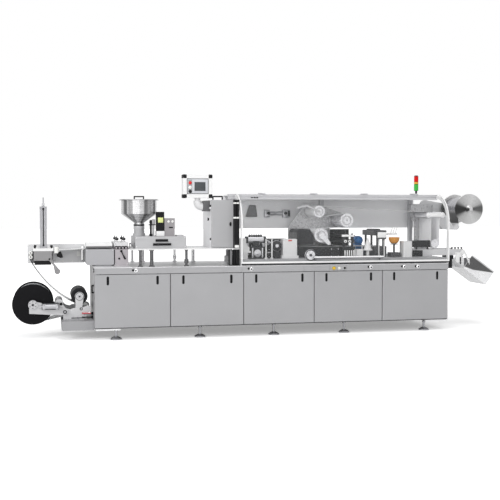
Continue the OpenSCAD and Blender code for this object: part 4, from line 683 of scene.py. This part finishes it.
def placed(tree, point):
    offset = tree.nodes.new("ShaderNodeVectorMath")
    offset.operation = "SUBTRACT"
    tree.links.new(object_coords(tree), offset.inputs[0])
    offset.inputs[1].default_value = drawing @ Vector(point)
    split = tree.nodes.new("ShaderNodeSeparateXYZ")
    tree.links.new(offset.outputs[0], split.inputs[0])
    return split.outputs


def reach(tree, a, b):
    square = sums(tree, "ADD", sums(tree, "MULTIPLY", a, a), sums(tree, "MULTIPLY", b, b))
    return sums(tree, "SQRT", square, 0.0)


def ramp(tree, source, stops):
    node = tree.nodes.new("ShaderNodeValToRGB")
    points = node.color_ramp.elements
    while len(points) < len(stops):
        points.new(1.0)
    for point, (place, level) in zip(points, stops):
        point.position = place
        point.color = (level, level, level, 1.0)
    tree.links.new(source, node.inputs["Fac"])
    return node.outputs["Color"]


def graded(material, tone):
    tree = material.node_tree
    base = tree.nodes["Principled BSDF"].inputs["Base Color"]
    tree.links.new(tinted(tree, base.links[0].from_socket, tone), base)


hopper_steel = metal("spun_stainless", (0.94, 0.94, 0.95), 0.26, (6.0, 6.0, 160.0), 0.03, 0.01, 0.6)
hopper_tree = hopper_steel.node_tree
# Painted reflection: the steel's colour is banded by the angle round the hopper's axis.
off_axis = placed(hopper_tree, (hopper_x, hopper_y, 0))
sideways = sums(hopper_tree, "DIVIDE", off_axis["X"], reach(hopper_tree, off_axis["X"], off_axis["Y"]))
across = spread(hopper_tree, sideways, -1.0, 1.0, 0.0, 1.0)
painted_reflection_bands = [(0.03, 0.62), (0.07, 0.14), (0.12, 0.16), (0.15, 0.62), (0.18, 0.36), (0.27, 0.40),
                (0.30, 0.92), (0.45, 0.90), (0.48, 0.62), (0.58, 0.60), (0.61, 0.16), (0.68, 0.20),
                (0.72, 0.38), (0.79, 0.42), (0.82, 0.62), (0.86, 0.60), (0.885, 0.16), (0.925, 0.18),
                (0.95, 0.85)]
graded(hopper_steel, ramp(hopper_tree, across, painted_reflection_bands))
dress(hopper_steel, "hopper")
lid_steel = metal("hopper_lid_steel", (0.34, 0.34, 0.35), 0.3, (60.0, 60.0, 60.0), 0.1, metallic=0.6)
dress(lid_steel, "hopper_lid")


def bail_sleeve(bm, x0, x1, y, z0, z1, r):
    for x in (x0, x1):
        bar(bm, (x, y, z0), (x, y, z1), r)
        ball(bm, (x, y, z1), r)
    bar(bm, (x0, y, z1), (x1, y, z1), r)


lid_sleeve = bmesh.new()
bail_sleeve(lid_sleeve, hopper_x - 50, hopper_x + 50, hopper_y, 1456, 1486, 7)
piece("hopper_bail_sleeve", lid_sleeve, black_plastic)

# Control cabinet: folded sheet steel, painted pale grey, with a darker door on lift-off hinges. The door
# has an oval black lock and hinge caps; the cabinet has a side latch and a lifting bail in a black sleeve.
dress(paint("control_cabinet_paint", (0.83, 0.83, 0.845), 0.4, 0.03), "control_cabinet")
dress(paint("cabinet_door_paint", (0.425, 0.425, 0.435), 0.4, 0.03), "cabinet_door")
door_parts = bmesh.new()
turned(door_parts, [(0, 7), (12, 7), (14, 5), (14, 0)], (0, 0, 0), "-y", 28)
bmesh.ops.scale(door_parts, vec=(0.8, 1.0, 1.7), verts=door_parts.verts)
bmesh.ops.translate(door_parts, vec=(1473, 278, 1189), verts=door_parts.verts)
for z in (1373, 1014):
    turned(door_parts, [(0, 24), (8, 24), (8.6, 22), (8.6, 1)], (1256, 292, z), "z", 20)
piece("door_lock_and_hinge_caps", door_parts, black_plastic, "cabinet_door")
cabinet_parts = bmesh.new()
turned(cabinet_parts, [(0, 10), (10, 10), (13, 7), (13, 0)], (1264, 440, 1240), "-x", 20)
slab(cabinet_parts, 1250, 1256, 436, 444, 1222, 1258, 1.5)
bail_sleeve(cabinet_parts, 1312, 1416, 450, 1450, 1489, 8)
piece("cabinet_latch_and_bail_sleeve", cabinet_parts, black_plastic)

# Operator panel: a white folded housing with four black corner guards, a pale membrane front with a dark
# edge, a column of push buttons and a dark touch screen, on a white elbow arm with a dark clamp.
dress(white_paint, "hmi_box")
dress(paint("arm_white_paint", (0.72, 0.72, 0.73), 0.36, 0.03), "hmi_arm")
dark_grey = paint("dark_grey_cast", (0.10, 0.10, 0.105), 0.42, 0.08)
plate("panel_arm_clamp", (1184, 1263, 338, 442, 1327, 1441), 5, dark_grey, segments=3)
corners = bmesh.new()
for x0, x1 in ((961, 1008), (1240, 1287)):
    for z0, z1 in ((1469, 1514), (1680, 1725)):
        slab(corners, x0, x1, 327, 433, z0, z1, 10, 3)
piece("panel_corner_guards", corners, black_plastic, "operator_panel")
membrane_grey = paint("membrane_grey", (0.60, 0.61, 0.64), 0.34, 0.03)
strip_grey = paint("strip_grey", (0.34, 0.35, 0.36), 0.36, 0.03)
screen_glass = paint("touch_screen", (0.05, 0.055, 0.06), 0.16, 0.2, 12.0, 0.01)
panel_faces = (("edge", (1006, 1242, 329, 335, 1514, 1680), dark_grey, "guard_grey"),
               ("membrane", (1012, 1236, 327, 334, 1520, 1674), membrane_grey, "cabinet_paint"),
               ("button_strip", (1018, 1062, 325, 328, 1526, 1668), strip_grey, "guard_grey"),
               ("screen", (1088, 1208, 324, 328, 1546, 1642), screen_glass, "black_plastic"))
for name, box, material, slot in panel_faces:
    plate("panel_" + name, box, 1.4, material, "operator_panel")
button_outline = [(0, 12), (9, 12), (13, 9), (13, 4), (18, 4), (18, 0)]
panel_buttons = (("stop", 1633, (0.66, 0.02, 0.02)), ("start", 1584, (0.84, 0.84, 0.82)),
                 ("jog", 1540, (0.01, 0.01, 0.01)))
for name, z, colour in panel_buttons:
    button = bmesh.new()
    turned(button, button_outline, (1040, 325, z))
    button_plastic = paint("button_" + name, colour, 0.28, 0.05, 60.0, 0.02, gleam=0.3)
    piece("panel_button_" + name, button, button_plastic, "operator_panel")

# Cable column: a black plastic duct with ribbed hoses beside the control cabinet. The hoses end in pale
# screwed glands, and a grey strip lies on the front of the short post below.
dress(black_plastic, "cable_column")
gland_ring_outline = [(13.4, 0), (16, 0), (16, 8), (14.5, 10), (14.5, 17), (13.4, 17)]
glands = bmesh.new()
for x in (1485, 1513):
    for y in (77, 125):
        for z in (1250, 1406):
            turned(glands, gland_ring_outline, (x, y, z), "z", 8)
slab(glands, 1476, 1522, 61, 64, 940, 968, 2)
piece("column_glands", glands, white_plastic)
plate("column_side_strip", (1424, 1446, 61, 64, 760, 915), 2, guide_grey)

# Guard: a clear bent acrylic hood with white edge strips, hinged on a slotted aluminium beam between white
# end arches. A brushed tube handle runs along its front over a rubber seal; its dark underside is painted
# shade and its pale top a painted highlight. A pale painted rear cover closes the back.
acrylic = paint("clear_acrylic", (0.9, 0.93, 0.94), 0.05, 0.02, 8.0, 0.0, gleam=0.4, alpha=0.022)
beam_metal = metal("anodised_beam", (0.56, 0.56, 0.577), 0.36, (3.0, 300.0, 300.0), 0.05, metallic=0.4)
tube = metal("brushed_tube", (0.20, 0.20, 0.21), 0.28, (6.0, 200.0, 200.0), 0.08)
tube_highlight_from = 0.829
dress(acrylic, "hood_sheet")
dress(white_paint, "end_arches", "hood_trim")
dress(zinc, "hood_hinges")
dress(beam_metal, "top_beam", "rear_posts")
dress(paint("rear_cover_paint", (0.97, 0.97, 0.98), 0.42, 0.05), "rear_cover")
# The handle is dark below and pale above this height: painted shade under the tube and a painted highlight
# on its top.
dress(two_tone(tube, (0.86, 0.86, 0.87), "Z", tube_highlight_from), "hood_handle")
slot_nuts = bmesh.new()
for x in (1712, 1742, 1772):
    slab(slot_nuts, x, x + 22, 323, 330, 1470, 1484, 1.5)
piece("beam_slot_nuts", slot_nuts, black_plastic)
hood_x0, hood_x1 = ((drawing.inverted() @ Vector(corner)).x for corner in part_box("hood_sheet"))
hood_seal = (hood_x0 + 4, hood_x1 - 4, 1, 9, 757, 773)
plate("hood_rubber_seal", hood_seal, 2, rubber, "guard_hood")

# Rear cover fittings: a pressed gusset plate and the air service unit, a regulator with its filter bowl
# lying along the cover, both screwed to the cover's inner face.
cover_y = 1010
gusset = bmesh.new()
cut_sheet(gusset, [(1799, 1262), (1942, 1262), (1923, 1402), (1844, 1402)], cover_y - 26, cover_y + 1, 8)
for x, z in ((1830, 1282), (1912, 1282), (1862, 1386), (1908, 1386)):
    screw(gusset, (x, cover_y - 26, z), 7, 5)
piece("cover_gusset", gusset, guide_grey)
bowl_wall = [(18, 0), (24, 4), (24, 60), (21, 64), (21, 96), (24, 100), (24, 156), (18, 160)]
air_unit = bmesh.new()
slab(air_unit, 2024, 2086, cover_y - 52, cover_y + 1, 1258, 1345, 6)
slab(air_unit, 2246, 2334, cover_y - 52, cover_y + 1, 1256, 1348, 6)
turned(air_unit, bowl_wall, (2086, cover_y - 30, 1303), "x", 28)
piece("air_service_unit", air_unit, cylinder_metal)
air_knobs = bmesh.new()
for x in (2066, 2274):
    turned(air_knobs, [(0, 26), (15, 26), (19, 22), (19, 4), (16, 0)], (x, cover_y - 52, 1305), "-y", 12)
slab(air_knobs, 2304, 2328, cover_y - 60, cover_y - 50, 1270, 1334, 3)
piece("air_unit_knobs", air_knobs, black_plastic)

# Bed and dark mechanism: the grey bed, the index drive and web covers in dark machine paint, with the
# bright rods, screws and covers that show in front of them.
dress(paint("bed_grey_paint", (0.34, 0.34, 0.35), 0.42, 0.06), "station_bed")
dark_paint = paint("dark_machine_paint", (0.014, 0.014, 0.016), 0.4, 0.25, gleam=0.3)
dress(dark_paint, "index_station", "sealing_press")
dress(paint("punch_dark_paint", (0.05, 0.05, 0.054), 0.4, 0.15), "punch_station")
skirt_y = 335
gear_y = 215
rod_y = 285
rod_z = 1017
bright_parts = bmesh.new()
skirt_columns = (1590, 1700, 1810, 1920, 2030, 2140, 2640, 2720)
screws(bright_parts, skirt_columns, skirt_y, (904, 826), 6, 5)
screws(bright_parts, (1630, 1760, 1890, 2020, 2150), skirt_y, (1008,), 5, 4)
slab(bright_parts, 1612, 1690, skirt_y - 6, skirt_y, 946, 992, 2)
slab(bright_parts, 1716, 1764, skirt_y - 4, skirt_y, 940, 956, 2)
slab(bright_parts, 1840, 1868, skirt_y - 10, skirt_y, 938, 1006, 2)
for x in (1800, 1910, 1960):
    turned(bright_parts, [(0, 9), (13, 9), (16, 6), (16, 0)], (x, skirt_y, 972), "-y", 20)
turned(bright_parts, [(32, 0), (33.5, 1), (33.5, 175), (32, 176)], (1664, rod_y, rod_z), "x", 32)
for i in range(6):
    turned(bright_parts, [(0, 12), (4, 12), (6, 9), (6, 0)], (1685 + 26 * i, rod_y, 1069), "z", 12)
gear_hub_outline = [(0, 8), (18, 8), (22, 5), (36, 5), (40, 2), (40, 0)]
turned(bright_parts, gear_hub_outline, (1760, gear_y, 872), "-y", 32)
slab(bright_parts, 1698, 1712, gear_y - 4, gear_y + 1, 822, 930, 1.5)
slab(bright_parts, 1808, 1822, gear_y - 4, gear_y + 1, 822, 930, 1.5)
turned(bright_parts, [(0, 4), (16, 4), (19, 2), (19, 0)], (1980, gear_y, 950), "-y", 24)
turned(bright_parts, [(52, 0), (54, 3), (58, 3), (60, 0)], (1980, gear_y + 22, 950), "-y", 40)
bar(bright_parts, (1864, rod_y, rod_z), (1932, rod_y, 978), 8)
slab(bright_parts, 1660, 1780, skirt_y - 5, skirt_y, 846, 862, 2)
slab(bright_parts, 1900, 2000, skirt_y - 5, skirt_y, 868, 880, 2)
bright_metal = metal("bright_parts", (0.62, 0.62, 0.64), 0.3, metallic=0.6)
piece("mechanism_bright_parts", bright_parts, bright_metal)
key_red = paint("key_red", (0.52, 0.05, 0.04), 0.35, 0.05)
plate("coding_box_key", (2102, 2144, 200, 207, 1000, 1014), 2, key_red)

# Foil route: ground rollers on grey back plates with turned face rings, and the dancer lever. The lidding
# foil is lacquered white on the machine's side; where it leaves the reel its bare side shows, with dark and
# mid grey bands painted on it as a reflection of the dark machine round it.
rollers = metal("ground_rollers", (0.74, 0.74, 0.76), 0.28, (30.0, 4.0, 30.0), 0.03, 0.01, 0.5)
plates_from = (drawing @ Vector((0, 699.5, 0))).y
dress(two_tone(rollers, (0.46, 0.46, 0.47), "Y", plates_from), "foil_rollers")
foil = metal("lacquered_foil", (0.97, 0.97, 0.98), 0.4, (6.0, 45.0, 2.0), 0.06, 0.03, 0.0)
foil_tree = foil.node_tree
by_reel = placed(foil_tree, (4150, 0, 1000))
foil_height = spread(foil_tree, by_reel["Z"], 0.0, 0.5, 0.0, 1.0)
# Painted reflection: dark and mid grey bands by height on the foil where it leaves the reel.
painted_reflection_tones = [(0.36, 1.0), (0.39, 0.05), (0.60, 0.07), (0.68, 0.42), (0.80, 0.55)]
foil_reflection = ramp(foil_tree, foil_height, painted_reflection_tones)
graded(foil, sums(foil_tree, "MAXIMUM", foil_reflection, sums(foil_tree, "LESS_THAN", by_reel["X"], 0.0)))
dress(foil, "foil_web")
face_y = 352
face_rings = bmesh.new()
for x, z, r in ((2503, 1325, 64), (2827, 1226, 76), (2527, 1057, 77)):
    ring_outline = [(0.56 * r, -8), (0.57 * r, 1), (0.7 * r, 1), (0.71 * r, -8)]
    cap_outline = [(0, 2), (0.16 * r, 2), (0.2 * r, -1), (0.2 * r, -8)]
    turned(face_rings, ring_outline, (x, face_y, z), "-y", 40)
    turned(face_rings, cap_outline, (x, face_y, z), "-y", 24)
piece("roller_face_rings", face_rings, lever_grey)
dancer_outline = [(2240, 1352), (2246, 1376), (2352, 1404), (2376, 1396), (2508, 1330), (2496, 1312),
                  (2356, 1376)]
dancer = bmesh.new()
cut_sheet(dancer, dancer_outline, 340, 351, 3)
piece("dancer_lever", dancer, lever_grey)

# Sealing press and punch: pale plates, guide bush eyes, the ribs of the press table and the punch's rods,
# all in white paint, with a dark steel shield behind the press and the white strap of the drop roller.
table_x0 = 2781
rib_pitch = 26.2
rib_width = 13
press_pale = bmesh.new()
slab(press_pale, 2748, 2896, 296, 301, 1042, 1066, 2)
for i in range(5):
    left = table_x0 + rib_pitch * i
    slab(press_pale, left, left + rib_width, 297, 301, 828, 890, 1.5)
for x in (2793, 2842):
    turned(press_pale, [(8, 0), (8, 5), (15, 5), (17, 3), (17, 0)], (x, 300, 991), "-y", 24)
slab(press_pale, 3166, 3274, 276, 281, 1030, 1092, 3)
slab(press_pale, 3288, 3456, 398, 422, 1058, 1078, 3)
for i in range(3):
    bar(press_pale, (3372 + 28 * i, 410, 1074), (3400 + 28 * i, 410, 1146), 9, 6)
piece("pale_press_parts", press_pale, white_paint)
shield_y = 752
shield = bmesh.new()
slab(shield, 2700, 2990, shield_y, shield_y + 5, 812, 1120, 2)
screws(shield, (2716, 2974), shield_y, (830, 1104), 8, 6)
piece("press_back_shield", shield, dark_paint)
roller_strap = bmesh.new()
slab(roller_strap, 3790, 4010, 341, 353, 1264, 1307, 3)
screws(roller_strap, (3815, 3985), 341, (1285,), 9, 6)
piece("drop_roller_strap", roller_strap, white_paint)

# Bed fittings: small white painted units that are screwed to the bed, with the hand wheel's black rim, the
# amber bowl on the counter's stand and the black sensor block at the outfeed.
dress(paint("fitting_white_paint", (0.68, 0.68, 0.68), 0.38, 0.04, gleam=0.35), "bed_fittings")
wheel_hub = (2302, 16, 855)
wheel_rim = bmesh.new()
turned(wheel_rim, [(50, 0), (52, 5), (58, 6), (61, 3), (61, 0)], wheel_hub, "-y", 40)
turned(wheel_rim, [(0, 8), (12, 8), (15, 4), (15, 0)], wheel_hub, "-y", 20)
piece("hand_wheel_rim", wheel_rim, black_steel)
bowl_outline = [(0, 3), (28, 3), (48, 18), (60, 46), (63, 74), (60, 74), (57, 48), (45, 22), (26, 8),
                (0, 8)]
bowl = bmesh.new()
turned(bowl, bowl_outline, (3366, 285, 960), "z", 32)
bowl_amber = paint("amber_bowl", (0.60, 0.25, 0.03), 0.28, 0.08, 60.0, 0.02, gleam=0.3)
piece("count_bowl", bowl, bowl_amber)
sensor = bmesh.new()
slab(sensor, 3606, 3722, 296, 330, 812, 882, 4)
turned(sensor, [(0, 10), (14, 10), (17, 6), (17, 0)], (3640, 296, 850))
piece("reject_sensor_block", sensor, black_plastic)

# Motors: a blue painted motor with cooling ribs and an end bell, bolted by its foot to the bed behind the
# web, and a black gear motor under the outfeed with the black sensor bank over the rails.
dress(paint("motor_blue_paint", (0.02, 0.18, 0.50), 0.36, 0.06), "drive_motors")
dress(paint("black_satin_paint", (0.010, 0.010, 0.011), 0.4, 0.25, gleam=0.2), "outfeed_motor")

# Foil reel: spun stainless flanges with bright and dark sectors painted round the hub as the reflection
# their turning marks throw, a bright cone hub with painted reflection bands of its own, the wound foil
# between them, and the blasted bracket that carries the reel.
dress(blasted, "reel_bracket")
flange = metal("spun_flange", (1.0, 1.0, 1.0), 0.3, (200.0, 200.0, 200.0), 0.04, metallic=0.5)
flange_tree = flange.node_tree
# Painted reflection: bright and dark sectors by the angle round the hub, and bands on the cone.
from_hub = placed(flange_tree, (4312, 0, 1354))
bearing = sums(flange_tree, "ARCTAN2", from_hub["Z"], from_hub["X"])
around = spread(flange_tree, bearing, -math.pi, math.pi, 0.0, 1.0)
flange_reflection_sectors = [(0.0, 0.02), (0.055, 0.04), (0.115, 0.40), (0.2, 0.50), (0.3, 0.60), (0.43, 0.42),
                (0.475, 0.11), (0.53, 0.10), (0.575, 0.44), (0.7, 0.60), (0.8, 0.52), (0.89, 0.42),
                (0.955, 0.04), (1.0, 0.02)]
cone_reflection_bands = [(0.0, 0.05), (0.10, 0.08), (0.15, 0.62), (0.6, 0.78), (0.9, 0.60), (0.96, 0.06)]
cone_radius = 0.0445
on_cone = sums(flange_tree, "LESS_THAN", reach(flange_tree, from_hub["X"], from_hub["Z"]), cone_radius)
pick = flange_tree.nodes.new("ShaderNodeMix")
flange_tree.links.new(on_cone, pick.inputs["Factor"])
flange_tree.links.new(ramp(flange_tree, around, flange_reflection_sectors), pick.inputs["A"])
flange_tree.links.new(ramp(flange_tree, around, cone_reflection_bands), pick.inputs["B"])
graded(flange, pick.outputs["Result"])
dress(flange, "foil_flanges")
dress(metal("wound_foil", (0.40, 0.40, 0.42), 0.24, (3.0, 60.0, 3.0), 0.3, metallic=0.7), "foil_roll")

# Outfeed: rails in blasted aluminium with black star knobs, a white side bracket with its bar, and the
# polished chute on white straps, with a dark wedge on its near wall as a painted reflection of the dark
# machine.
dress(blasted, "outfeed_bed")
dress(white_paint, "chute_straps")
star_knob_outline = [(0, 22), (9, 22), (12, 19), (12, 9), (7, 7), (7, 0)]
rail_knobs = bmesh.new()
for x in (4112, 4152, 4192, 4232):
    turned(rail_knobs, star_knob_outline, (x, 361, 890), "z", 10)
slab(rail_knobs, 4204, 4218, 334, 344, 716, 796, 3)
piece("outfeed_rail_knobs", rail_knobs, black_plastic)
side_outline = [(4150, 850), (4150, 752), (4168, 734), (4226, 734), (4240, 748), (4240, 850)]
side_plate = bmesh.new()
cut_sheet(side_plate, side_outline, 343, 351, 2)
screws(side_plate, (4164, 4228), 343, (838,), 6, 5)
piece("outfeed_side_plate", side_plate, white_paint)
chute_steel = metal("polished_chute", (0.88, 0.88, 0.89), 0.24, (8.0, 90.0, 8.0), 0.04, 0.02, 0.7)
chute_slope = math.radians(35)
chute_tree = chute_steel.node_tree
chute_x, chute_y, chute_z = placed(chute_tree, (4246, 336, 668))


def leaned(a, a_share, b, b_share, operation):
    first = sums(chute_tree, "MULTIPLY", a, a_share)
    return sums(chute_tree, operation, first, sums(chute_tree, "MULTIPLY", b, b_share))


# Painted reflection: a dark wedge on the chute's near wall, between two sloping lines and under its top
# edge.
down = leaned(chute_x, math.cos(chute_slope), chute_z, math.sin(chute_slope), "SUBTRACT")
up = leaned(chute_x, math.sin(chute_slope), chute_z, math.cos(chute_slope), "ADD")
slow_rise = sums(chute_tree, "ADD", sums(chute_tree, "MULTIPLY", down, 0.257), 0.021)
steep_rise = sums(chute_tree, "ADD", sums(chute_tree, "MULTIPLY", down, 0.503), -0.006)
above = sums(chute_tree, "SUBTRACT", up, sums(chute_tree, "MAXIMUM", slow_rise, steep_rise))
lower_edge = spread(chute_tree, above, -0.004, 0.006, 0.0, 1.0)
upper_edge = spread(chute_tree, up, 0.168, 0.180, 1.0, 0.0)
near_wall = sums(chute_tree, "LESS_THAN", chute_y, 0.0)
dark_reflection_wedge = sums(chute_tree, "MULTIPLY", sums(chute_tree, "MULTIPLY", lower_edge, upper_edge), near_wall)
dark_reflection_tone = 0.13
graded(chute_steel, spread(chute_tree, dark_reflection_wedge, 0.0, 1.0, 1.0, dark_reflection_tone))
dress(chute_steel, "outfeed_chute")
inlet = bmesh.new()
cut_sheet(inlet, [(4249, 684), (4249, 790), (4328, 790)], 323, 326, 0.5)
piece("chute_inlet_sheet", inlet, dark_grey)
strap_screws = bmesh.new()
for x, z in ((4228, 806), (4300, 758)):
    screw(strap_screws, (x, 318, z), 6, 5)
piece("chute_strap_screws", strap_screws, zinc)

# Signal tower: a dark moulded foot, stem and cap on top of the guard's frame. Thin coloured sleeves round
# the column are the green, amber and red lenses.
dress(paint("tower_black", (0.02, 0.02, 0.022), 0.4, 0.1, gleam=0.25), "tower_light")
tower_lenses = (("green", 1566, 1638, (0.05, 0.42, 0.06)), ("amber", 1643, 1664, (0.75, 0.40, 0.05)),
                ("red", 1668, 1729, (0.62, 0.008, 0.006)))
for name, z0, z1, colour in tower_lenses:
    sleeve_outline = [(23.5, 0), (24.8, 1), (24.8, z1 - z0 - 1), (23.5, z1 - z0)]
    sleeve = bmesh.new()
    turned(sleeve, sleeve_outline, (3700, 448, z0), "z", 40)
    sleeve_plastic = paint("tower_" + name, colour, 0.35, 0.06, 90.0, 0.05, gleam=0.15)
    piece("tower_lens_" + name, sleeve, sleeve_plastic)
